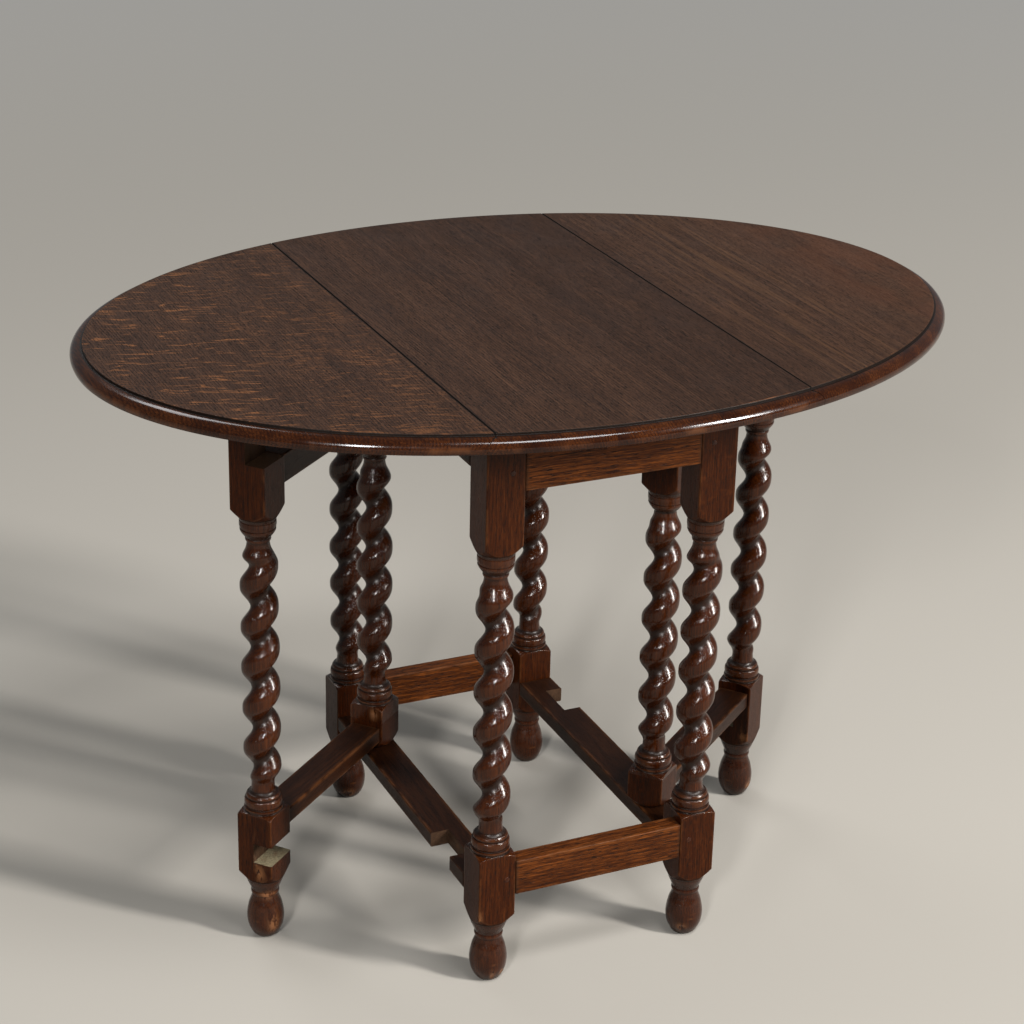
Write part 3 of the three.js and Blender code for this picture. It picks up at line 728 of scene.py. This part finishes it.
def square_radius(angles):
    """Distance from the axis to a leg's square, with its rounded arrises."""
    folded = np.abs((angles + TAU / 8) % (TAU / 4) - TAU / 8)
    flat = SQUARE_HALF / np.cos(folded)
    centre = SQUARE_HALF - ARRIS
    towards = centre * (np.cos(folded) + np.sin(folded))
    corner = towards + np.sqrt(np.maximum(towards**2 - 2 * centre**2 + ARRIS**2, 0))
    return np.where(SQUARE_HALF * np.tan(folded) > centre, corner, flat)


SQUARE = square_radius(ANGLES)
ARRIS_NEARNESS = spread(1 - np.abs(np.degrees((ANGLES % (TAU / 4)) - TAU / 8)) / 4.5)


def softer_minimum(a, b):
    """The smaller of a and b, rounded where they meet."""
    softness = 0.7
    blend = np.clip(0.5 + 0.5 * (b - a) / softness, 0, 1)
    return b + (a - b) * blend - softness * blend * (1 - blend)


def twist_rings(bottom, start, chance):
    """Heights, radii and hollowness of the barley twist, a little uneven as carved by hand."""
    count = int((TWIST_TOP - bottom) / TWIST_STEP)
    phase = [chance.uniform(0, TAU) for _ in range(3)]
    rings = []
    for k in range(1, count):
        z = bottom + (TWIST_TOP - bottom) * k / count
        above, below = z - bottom, TWIST_TOP - z
        swell = spread(above / 22) * spread(below / 25)
        cut = spread(above / 13) * spread((below - 10) / 18)
        wave = math.sin(z / 31 + phase[0]) + 0.6 * math.sin(z / 17 + phase[1])
        outer = NECK_RADIUS + (TWIST_RADIUS + 0.22 * wave - NECK_RADIUS) * swell
        sway = 0.05 * math.sin(z / 23 + phase[2])
        turn = ANGLES - start - TAU * z / TWIST_PITCH + sway
        groove = ((1 - np.cos(turn)) / 2) ** 1.5
        radius = outer - (outer - TWIST_GROOVE_RADIUS - 0.3 * wave) * groove * cut
        # The groove's hollowness darkens it with dirt and painted shade.
        rings.append((z, radius, spread((groove - 0.60) / 0.36) * cut * 0.95))
    return rings


def post_rings(below, lift, above, start, chance, drop):
    """All rings of a post as (height, radius at each angle, hollowness, edge)."""
    rings = []

    def add(profile):
        heights = np.array([z for z, _ in profile])
        radii = np.array([r for _, r in profile])
        for z, r in profile:
            near = radii[np.abs(heights - z) < 3.2]
            # Hollowness darkens the fillets and grooves between rings with dirt and painted shade.
            hollow = float(spread((near.max() - r - 0.35) / 2.2)) if r < 24 else 0.0
            ridge = float(spread((r - near.min() - 0.5) / 2.0)) * (0.35 if r < 24 else 0.0)
            circle = np.full(len(ANGLES), r)
            radius = softer_minimum(circle, SQUARE)
            on_square = np.clip(r - SQUARE, 0, 1)
            crease = np.exp(-(((r - SQUARE) / 0.9) ** 2)) * (0.8 if r > 22 else 0.0)
            edge = np.maximum(np.maximum(ARRIS_NEARNESS * on_square, crease), ridge)
            rings.append((z, radius, np.full(len(ANGLES), hollow), edge))

    add(below)
    for z, radius, hollow in twist_rings(TWIST_BOTTOM + lift, start, chance):
        rings.append((z, radius, hollow, np.zeros(len(ANGLES))))
    add([(z - drop * spread((z - 514) / 6), r) for z, r in outline(UPPER_BLOCK_FOOT)] + above)
    return rings


def long_block(bottom, top):
    """The (height, radius) rings of a square block."""
    count = max(1, int((top - bottom) / BLOCK_STEP))
    return [(bottom + (top - bottom) * k / count, BLOCK_CIRCLE) for k in range(count + 1)]


# Places where the polish is rubbed or knocked through: height, direction in degrees, and sizes.
SCUFFS = {
    "front_left_leg": [(9, 262, 6.5, 9), (12, 300, 5, 10), (92, 225, 6, 5)],
    "left_gate_leg": [(116, 226, 20, 7), (94, 236, 10, 14), (23, 276, 12, 15), (60, 262, 5, 30)],
    "front_right_leg": [(14, 235, 5, 14)],
    "right_gate_leg": [(16, 300, 6, 14), (96, 255, 8, 8)],
    "back_left_leg": [(10, 250, 6, 20)],
    "left_pivot_post": [(178, 245, 6, 10)],
}


def make_post(name, origin, below, above, angle=0.0, cutters=()):
    """One turned post, built on the Z axis in its own frame and then put at origin."""
    chance = random.Random(name)
    lift, drop = POST_LIFT.get(name, 0.0), POST_DROP.get(name, 0.0)
    start = math.radians(TWIST_START[name]) - angle
    rings = post_rings(below, lift, above, start, chance, drop)
    heights, radii, hollow, edge = zip(*rings)
    points, faces = loft([
        np.stack([r * np.cos(ANGLES), r * np.sin(ANGLES), np.full(len(ANGLES), z)], 1)
        for z, r in zip(heights, radii)
    ])
    turn = np.tile(ANGLES, len(rings))
    scuff = np.zeros(len(points))
    for z, direction, tall, wide in SCUFFS.get(name, []):
        off = (np.degrees(turn + angle) - direction + 180) % 360 - 180
        patch = np.exp(-(((points[:, 2] - z) / tall) ** 2) - (off / wide) ** 2)
        scuff = np.maximum(scuff, patch)
    points[:, :2] *= (1 - 0.035 * spread((scuff - 0.5) / 0.5))[:, None]
    obj = make_object(name + "_turned", points, faces, TURNED, BLOCK)
    for face in obj.data.polygons:
        x, y, z = face.center / MM
        on_block = not TURNED_SPAN[0] < z < TURNED_SPAN[1]
        face.material_index = int(on_block and math.hypot(x, y) > SQUARE_HALF - 0.1)
    store(obj.data, "cavity", np.concatenate(hollow))
    store(obj.data, "edge", np.concatenate(edge))
    store(obj.data, "scuff", scuff)
    if cutters:
        boolean(obj, "DIFFERENCE", *cutters)
    smooth(obj.data, 34)
    place(obj, origin, angle)
    lay_grain(obj, 2, name, origin, angle)
    finish_piece(obj, name)


FRAME_TOP = box_mm("front_left_leg")[1][2]
LEG_BELOW = outline(FOOT) + long_block(*LOWER_BLOCK) + outline(LOWER_BLOCK_TOP)
LEG_ABOVE = long_block(UPPER_BLOCK_BOTTOM, FRAME_TOP)

for corner in CORNERS:
    make_post(corner + "_leg", middle_xy(corner + "_leg"), LEG_BELOW, LEG_ABOVE)


def notch_cutter(bottom, top, floor):
    """The halving of a gate leg, on the side that closes against the frame. Floor is a wood."""
    cutter = box_cutter((-40, SQUARE_HALF - NOTCH_DEPTH, bottom), (40, 40, top), floor)
    cutter.data.materials.append(RAW_DARK)
    for face in cutter.data.polygons:
        face.material_index = int(abs(face.normal.z) < 0.5)
    return cutter


def pivot_post_ends(name):
    """A pivot post's profiles below and above its turnings, with the pins at its ends."""
    side = name.split("_")[0]
    lift = POST_LIFT[name]
    base = box_mm(f"{side}_long_stretcher")[1][2] + 0.7
    head = box_mm(f"{side}_top_rail")[0][2] - 0.7
    bevel = [[0, 22.8], [1.4, 23.6], [4.5, 27.6], [8.5, 31.8]]
    foot = outline([bevel, [[8.5, 31.8], [14, BLOCK_CIRCLE]]])
    below = [(base - PIN_LENGTH, PIN_RADIUS), (base - 0.2, PIN_RADIUS)]
    below += [(z + base, r) for z, r in foot]
    below += long_block(base + 16, 150 + lift) + outline(LOWER_BLOCK_TOP, lift)
    above = long_block(UPPER_BLOCK_BOTTOM, head - 16)
    above += [(head - z, r) for z, r in reversed(foot)]
    above += [(head + 0.2, PIN_RADIUS), (head + PIN_LENGTH, PIN_RADIUS)]
    return below, above


for side, gate in GATES.items():
    node = f"{side}_gate_leg"
    rail_top = box_mm(f"{side}_gate_top_rail")[1][2]
    cutters = [notch_cutter(rail_top, 760, RAW_DARK), notch_cutter(*NOTCH, RAW)]
    make_post(node, middle_xy(node), LEG_BELOW, LEG_ABOVE, gate["angle"], cutters)
    node = f"{side}_pivot_post"
    make_post(node, gate["pivot"], *pivot_post_ends(node), gate["angle"])

# ---- boards and rails


def rounded_box(low, high, radius, hold=4.5):
    """Points and quads of a box with rounded edges and a plain border inside each edge."""
    low, high = np.asarray(low, float), np.asarray(high, float)
    steps = []
    for a, b in zip(low, high):
        border = min(hold, 0.4 * (b - a))
        near = [0, 0.586 * radius, radius, border]
        inner = list(np.linspace(a + border, b - border, max(2, int((b - a) / 60) + 1)))[1:-1]
        steps.append(np.array([a + n for n in near] + inner + [b - n for n in reversed(near)]))
    points, faces, found = [], [], {}

    def index(point):
        key = tuple(np.round(point, 4))
        if key not in found:
            found[key] = len(points)
            points.append(point)
        return found[key]

    for axis in range(3):
        u, v = [(1, 2), (2, 0), (0, 1)][axis]
        for end, value in ((0, low[axis]), (1, high[axis])):
            for i in range(len(steps[u]) - 1):
                for j in range(len(steps[v]) - 1):
                    quad = []
                    for a, b in ((i, j), (i + 1, j), (i + 1, j + 1), (i, j + 1)):
                        point = np.zeros(3)
                        point[axis], point[u], point[v] = value, steps[u][a], steps[v][b]
                        quad.append(index(point))
                    faces.append(tuple(quad if end else reversed(quad)))
    points = np.array(points)
    inside = np.clip(points, low + radius, high - radius)
    away = points - inside
    length = np.linalg.norm(away, axis=1, keepdims=True)
    return inside + away * radius / np.maximum(length, 1e-9), faces


def edge_of_box(points, low, high, radius):
    """1 on a box's rounded edges and 0 on its faces."""
    near = (points < np.asarray(low) + 1.02 * radius) | (points > np.asarray(high) - 1.02 * radius)
    return (near.sum(1) >= 2).astype(float)


def make_board(node, suffix, low, high, along, material, slot, radius,
               cutters=(), gate=None, wobble=0.25):
    """A board that stands for a CAD node, with worn edges. A gate's board is built in its frame."""
    name = node + suffix
    chance = random.Random(name)
    points, faces = rounded_box(low, high, radius)
    length = points[:, along] / 90
    for axis in range(3):
        if axis != along:
            points[:, axis] += wobble * np.sin(length + chance.uniform(0, TAU))
    obj = make_object(name, points, faces, material)
    if cutters:
        boolean(obj, "DIFFERENCE", *cutters)
    here = points_of(obj.data)
    store(obj.data, "edge", edge_of_box(here, low, high, radius + wobble))
    ends = np.minimum(here[:, along] - low[along], high[along] - here[:, along])
    # Painted shade and dirt darken each board for 5 mm next to the legs.
    store(obj.data, "cavity", 0.9 * spread(1 - ends / 5.0))
    store(obj.data, "scuff", np.zeros(len(here)))
    smooth(obj.data, 40)
    origin, angle = (0, 0), 0.0
    if gate:
        origin, angle = gate["pivot"], gate["angle"]
        place(obj, origin, angle)
    lay_grain(obj, along, name, origin, angle)
    obj.modifiers.new("Flat faces", "WEIGHTED_NORMAL").keep_sharp = True
    finish_piece(obj, node)


inner_x, inner_y = box_mm("front_left_leg")[1][:2]
board_half = -inner_x - BOARD_GAP
for end in ENDS:
    for kind in ("apron", "stretcher"):
        node = f"{end}_{kind}"
        low, high = box_mm(node)
        low[0], high[0] = -board_half, board_half
        make_board(node, "_board", low, high, 0, FIGURED, "figured_oak", 1.1)

rail_half = -inner_y - BOARD_GAP
for side, sign in SIGNS.items():
    gate = GATES[side]
    closed_y = gate["pivot"][1] + sign * gate["length"]
    y0, y1 = sorted((closed_y - sign * 33, closed_y + sign * 24))
    for kind in ("top_rail", "long_stretcher"):
        node = f"{side}_{kind}"
        low, high = box_mm(node)
        low[1], high[1] = -rail_half, rail_half
        x0, x1 = sorted(((low[0] + high[0]) / 2, sign * 200))
        cutter = box_cutter((x0, y0, low[2] - 9), (x1, y1, high[2] + 9), RAW_DARK)
        make_board(node, "_board", low, high, 1, RAIL, "rail_oak", 1.5, [cutter])

    inner, outer = SQUARE_HALF + BOARD_GAP, gate["length"] - SQUARE_HALF - BOARD_GAP
    for kind in ("top", "low"):
        node = f"{side}_gate_{kind}_rail"
        low, high = box_mm(node)
        low = (inner, -GATE_RAIL_HALF, low[2])
        high = (outer, GATE_RAIL_HALF, high[2])
        make_board(node, "_board", low, high, 0, RAIL, "rail_oak", 1.6, gate=gate)

    node = f"{side}_gate_stop"
    low, high = box_mm(node)
    face = -SQUARE_HALF - BOARD_GAP
    low = (gate["length"] - 30, face - 14, low[2])
    high = (gate["length"] + 30, face, high[2])
    make_board(node, "_block", low, high, 0, PLAIN, "plain_oak", 1.0, gate=gate, wobble=0.0)

for corner in CORNERS:
    node = corner + "_glue_block"
    make_board(node, "_wood", *box_mm(node), 0, PLAIN, "plain_oak", 0.9, wobble=0.0)

# ---- pegs


PEG_SIDES = 20
PEG_PROFILE = ((-10, 3.3), (-0.3, 3.4), (0.15, 3.25), (0.4, 2.7), (0.5, 1.4))


def make_peg(node):
    """A cleft peg, roughly round and a hair proud of the leg, seen as a small disc."""
    chance = random.Random(node)
    low, high = box_mm(node)
    size = high - low
    axis = int(np.argmax(size))
    centre = (low + high) / 2
    outward = 1 if centre[axis] > 0 else -1
    tip = high[axis] if outward > 0 else low[axis]
    winding = 1 if (outward > 0) == (axis != 1) else -1
    wander = np.array([chance.uniform(-0.16, 0.16) for _ in range(PEG_SIDES)])
    stations = [(tip + outward * depth, radius) for depth, radius in PEG_PROFILE]
    points, faces = round_solid(axis, centre, stations, winding, PEG_SIDES, wander)
    obj = make_object(node + "_end", points, faces, PEG)
    store(obj.data, "edge", np.zeros(len(points)))
    store(obj.data, "scuff", np.zeros(len(points)))
    depth = outward * (points[:, axis] - tip)
    # Painted shade and dirt darken the peg's sides where it enters the leg.
    store(obj.data, "cavity", 0.9 * (depth < 0.1).astype(float))
    smooth(obj.data, 60)
    lay_grain(obj, axis, node)
    finish_piece(obj, node)


for node in sorted(frame["nodes"]):
    if node.endswith("_peg"):
        make_peg(node)

# ---- oval top


def edge_profile():
    """Reach past the flat surface and height of the moulded edge, from the underside up."""
    base, quirk, inset = 5.2, 16.0, 1.4
    profile = [(-30, 0), (12.0, 0), (12.6, 0.25), (13.3, 2.0), (13.9, 4.0), (EDGE_REACH, base)]
    for k in range(1, 12):
        turn = (math.pi / 2) * k / 12
        out = inset + (EDGE_REACH - inset) * math.cos(turn)
        profile.append((out, base + (quirk - base) * math.sin(turn)))
    profile += [(1.6, quirk), (0.75, quirk), (0.55, 16.15), (0.45, 16.6), (0.42, 18.0)]
    profile += [(0.28, 18.5), (-0.05, 18.86), (-0.55, 19.0), (-4, 19), (-30, 19)]
    return profile


def oval_ring(reach, z):
    """The oval at height z, reach out from the edge of the flat surface."""
    turn = TAU * (np.arange(OVAL_SIDES) + 0.5) / OVAL_SIDES
    normal = np.stack([np.cos(turn) / TOP_HALF_LENGTH, np.sin(turn) / TOP_HALF_WIDTH], 1)
    normal /= np.linalg.norm(normal, axis=1, keepdims=True)
    flat = np.stack([TOP_HALF_LENGTH * np.cos(turn), TOP_HALF_WIDTH * np.sin(turn)], 1)
    return np.column_stack([flat + reach * normal, np.full(OVAL_SIDES, z)])


def reach_of(points):
    """How far each point stands out past the flat oval, close enough near the edge."""
    x = points[:, 0] / TOP_HALF_LENGTH
    y = points[:, 1] / TOP_HALF_WIDTH
    size = np.hypot(x, y)
    slope = np.hypot(x / TOP_HALF_LENGTH, y / TOP_HALF_WIDTH) / np.maximum(size, 1e-6)
    return np.clip((size - 1) / slope, -20, 20)


def rule_line(seam_x, radius, away):
    """The rule joint's section from below the underside up to its rubbed arris.

    away is the side of the seam that the wood is on: -1 for the centre and 1 for the leaf.
    """
    line = [(SEAM_X + radius, TOP_UNDERSIDE - 5)]
    for k in range(13):
        turn = (math.pi / 2) * k / 12
        x = SEAM_X + radius * math.cos(turn)
        line.append((max(x, seam_x), RULE_AXIS_Z + radius * math.sin(turn)))
    for inset, drop in ((0.0, 2.4), (0.2, 1.1), (0.5, 0.35), (0.9, -0.12), (0.9, -5.0)):
        line.append((seam_x + away * inset, TOP_Z - drop))
    return line


def prism(section, material):
    """A section in the XZ plane carried along Y, past the oval, as a cutter."""
    count = len(section)
    points = [(x, y, z) for y in (-400.0, 400.0) for x, z in section]
    faces = [(k, (k + 1) % count, (k + 1) % count + count, k + count) for k in range(count)]
    faces += [tuple(range(count - 1, -1, -1)), tuple(range(count, 2 * count))]
    return make_object("cutter", points, faces, material)


def make_top(node, section, recesses):
    """One of the top's three pieces: the whole oval, cut down to a section in the XZ plane."""
    rings = [oval_ring(reach, TOP_UNDERSIDE + up) for reach, up in edge_profile()]
    points, faces = loft(rings)
    obj = make_object(node + "_board", points, faces, TOP_FACE, TOP_RIM, TOP_UNDER)
    for face in obj.data.polygons:
        reach = float(reach_of(np.array([face.center]) / MM)[0])
        height = face.center.z / MM
        if height < TOP_UNDERSIDE + 0.1:
            face.material_index = 2
        elif reach > 0.6 and height < TOP_Z - 2:
            face.material_index = 1
    boolean(obj, "INTERSECT", prism(section, TOP_UNDER))
    boolean(obj, "DIFFERENCE", *recesses)
    here = points_of(obj.data)
    store(obj.data, "grain", np.stack([here[:, 0], here[:, 2], here[:, 1]], 1))
    store(obj.data, "reach", reach_of(here))
    smooth(obj.data, 28)
    finish_piece(obj, node)


centre_line = rule_line(SEAM_X, RULE_RADIUS, -1)
leaf_line = rule_line(SEAM_X + SEAM_GAP, RULE_RADIUS + RULE_CLEARANCE, 1)
far_x = TOP_HALF_LENGTH + EDGE_REACH + 20
leaf_section = [(far_x, TOP_UNDERSIDE - 5), (far_x, TOP_Z + 5)] + leaf_line[::-1]


def flipped(section):
    return [(-x, z) for x, z in reversed(section)]


HINGES = [(side, end) for side in SIGNS for end in ENDS]


def recess_cutters(*sides):
    """Cutters for the hinges' flaps and knuckles, in the underside."""
    cutters = []
    for side, end in HINGES:
        if side not in sides:
            continue
        flaps = [box_mm(f"{side}_{end}_hinge_{part}_flap") for part in ("frame", "leaf")]
        low = np.minimum(flaps[0][0], flaps[1][0]) - HINGE_GAP
        high = np.maximum(flaps[0][1], flaps[1][1]) + HINGE_GAP
        middle = SIGNS[side] * SEAM_X
        for x0, x1, top in (
            (low[0], high[0], TOP_UNDERSIDE + 2.8),
            (middle - KNUCKLE_RECESS, middle + KNUCKLE_RECESS, RULE_AXIS_Z + KNUCKLE_RECESS),
        ):
            bottom = TOP_UNDERSIDE - 3
            cutters.append(box_cutter((x0, low[1], bottom), (x1, high[1], top), TOP_UNDER))
    return cutters


make_top("center_top", centre_line + flipped(centre_line), recess_cutters("left", "right"))
make_top("left_leaf", flipped(leaf_section), recess_cutters("left"))
make_top("right_leaf", leaf_section, recess_cutters("right"))

# ---- hinges


def steel_object(name, node, shape, stands_in=True):
    obj = make_object(name, *shape, STEEL)
    store(obj.data, "grain", points_of(obj.data))
    smooth(obj.data, 30)
    finish_piece(obj, node, stands_in)


def joined(parts):
    """Several point and face lists as one."""
    points, faces, base = [], [], 0
    for part_points, part_faces in parts:
        points.append(np.asarray(part_points))
        faces += [tuple(i + base for i in face) for face in part_faces]
        base += len(part_points)
    return np.concatenate(points), faces


def knuckle_part(x, z, y0, y1, radius):
    """A rolled knuckle or pin along Y, with slightly rounded ends."""
    ease = 0.25
    end = radius - ease
    stations = ((y0, end), (y0 + ease, radius), (y1 - ease, radius), (y1, end))
    return round_solid(1, (x, 0, z), stations, -1, 28)


def screw_part(x, y, z):
    """A countersunk screw head that faces down."""
    stations = ((z + 1.2, 3.6), (z + 0.05, 3.6), (z - 0.12, 3.24), (z - 0.2, 1.26))
    return round_solid(2, (x, y, 0), stations, -1, 24)


# How far from the table's middle each flap's plate and the strap to its knuckles reach.
FLAPS = {
    "frame": {"plate": (145.0, 181.1), "strap": (180.9, 182.6)},
    "leaf": {"plate": (186.2, 238.0), "strap": (181.0, 186.4)},
}
# Along the plate as a share of its length, and off its middle line.
SCREWS = ((0.22, -9.5), (0.22, 9.5), (0.62, -9.5), (0.62, 9.5), (0.86, 0.0))


def make_hinge(side, end):
    """A table hinge: two plates let into the wood, their knuckles, screws and pin."""
    sign = SIGNS[side]
    prefix = f"{side}_{end}_hinge"
    bottom = TOP_UNDERSIDE + 0.05
    top = bottom + FLAP_THICK
    for part, reach in FLAPS.items():
        node = f"{prefix}_{part}_flap"
        low, high = box_mm(node)
        y0, y1 = low[1], high[1]
        middle = (y0 + y1) / 2
        if part == "frame":
            spans = [(y0, middle - 7), (middle + 7, y1)]
        else:
            spans = [(middle - 6.7, middle + 6.7)]
        x0, x1 = sorted(sign * x for x in reach["plate"])
        parts = [rounded_box((x0, y0, bottom), (x1, y1, top), 0.45, 2.0)]
        near, length = (x0 if sign > 0 else x1), x1 - x0
        x0, x1 = sorted(sign * x for x in reach["strap"])
        for a, b in spans:
            parts.append(knuckle_part(sign * SEAM_X, RULE_AXIS_Z, a, b, KNUCKLE_RADIUS))
            parts.append(rounded_box((x0, a, bottom), (x1, b, top), 0.4, 1.0))
        steel_object(node + "_plate", node, joined(parts))
        screws = [
            screw_part(near + sign * share * length, middle + offset, bottom)
            for share, offset in SCREWS
        ]
        steel_object(f"{prefix}_{part}_screws", node, joined(screws), stands_in=False)
    node = f"{prefix}_pin"
    y0, y1 = [corner[1] for corner in box_mm(node)]
    pin = knuckle_part(sign * SEAM_X, RULE_AXIS_Z, y0 - 0.2, y1 + 0.2, HINGE_PIN_RADIUS)
    steel_object(node + "_wire", node, pin)


for side, end in HINGES:
    make_hinge(side, end)

# ---- studio

CAMERA_PLACE = (-1.1498, -2.4794, 1.6582)
CAMERA_YAW = math.radians(24.77)
CAMERA_PITCH = math.radians(23.41)
CAMERA_ROLL = math.radians(1.345)
CAMERA_LENS = 88.26

DAYLIGHT = (0.97, 0.985, 1)
LIGHTS_AIM = Vector((0, 0, 0.45))


def make_camera():
    """A camera at its place, aimed by yaw and pitch and then rolled."""
    data = bpy.data.cameras.new("camera")
    data.lens = CAMERA_LENS
    data.sensor_width = 36
    data.clip_end = 100
    camera = bpy.data.objects.new("camera", data)
    level = math.pi / 2 - CAMERA_PITCH
    matrix = Matrix.Translation(CAMERA_PLACE)
    for angle, axis in ((-CAMERA_YAW, "Z"), (level, "X"), (CAMERA_ROLL, "Z")):
        matrix = matrix @ Matrix.Rotation(angle, 4, axis)
    camera.matrix_world = matrix
    bpy.context.scene.collection.objects.link(camera)
    bpy.context.scene.camera = camera


def soft_box(name, azimuth, elevation, distance, width, height, power, colour=DAYLIGHT):
    """A rectangular light. azimuth is where it stands, in degrees from -Y towards +X."""
    data = bpy.data.lights.new(name, "AREA")
    data.shape = "RECTANGLE"
    data.size = width
    data.size_y = height
    data.energy = power
    data.color = colour
    turn, lift = math.radians(azimuth), math.radians(elevation)
    level = math.cos(lift)
    offset = Vector((math.sin(turn) * level, -math.cos(turn) * level, math.sin(lift)))
    light = bpy.data.objects.new(name, data)
    light.location = LIGHTS_AIM + distance * offset
    light.rotation_euler = offset.to_track_quat("Z", "Y").to_euler()
    bpy.context.scene.collection.objects.link(light)


def make_studio():
    """A plain floor that grows paler away from the table, a pale sky and four soft lights."""
    floor = Shader("studio_floor", roughness=0.8)
    away = floor.node("ShaderNodeNewGeometry", {}).outputs["Position"]
    away = floor.rise(floor.vector("LENGTH", away, output="Value"), 2.0, 11.0)
    floor.link(floor.mix(away, (0.25, 0.23, 0.20), (0.78, 0.76, 0.73)), "Base Color")
    size = 30000
    corners = [(-size, -size, 0), (size, -size, 0), (size, size, 0), (-size, size, 0)]
    make_object("floor", corners, [(0, 1, 2, 3)], floor.material)
    world = bpy.data.worlds.new("studio")
    bpy.context.scene.world = world
    world.use_nodes = True
    background = world.node_tree.nodes["Background"]
    background.inputs["Color"].default_value = (0.84, 0.89, 0.93, 1)
    background.inputs["Strength"].default_value = 0.24
    soft_box("key", 42, 28, 6.5, 0.6, 2.2, 860, (1, 0.99, 0.975))
    soft_box("fill", -38, 27, 6.5, 0.6, 1.5, 360)
    soft_box("overhead", 18, 64, 5.0, 1.7, 0.9, 170)
    soft_box("behind", -165, 50, 6.5, 2.4, 1.6, 110)
    bpy.context.scene.view_settings.view_transform = "Standard"


make_camera()
make_studio()
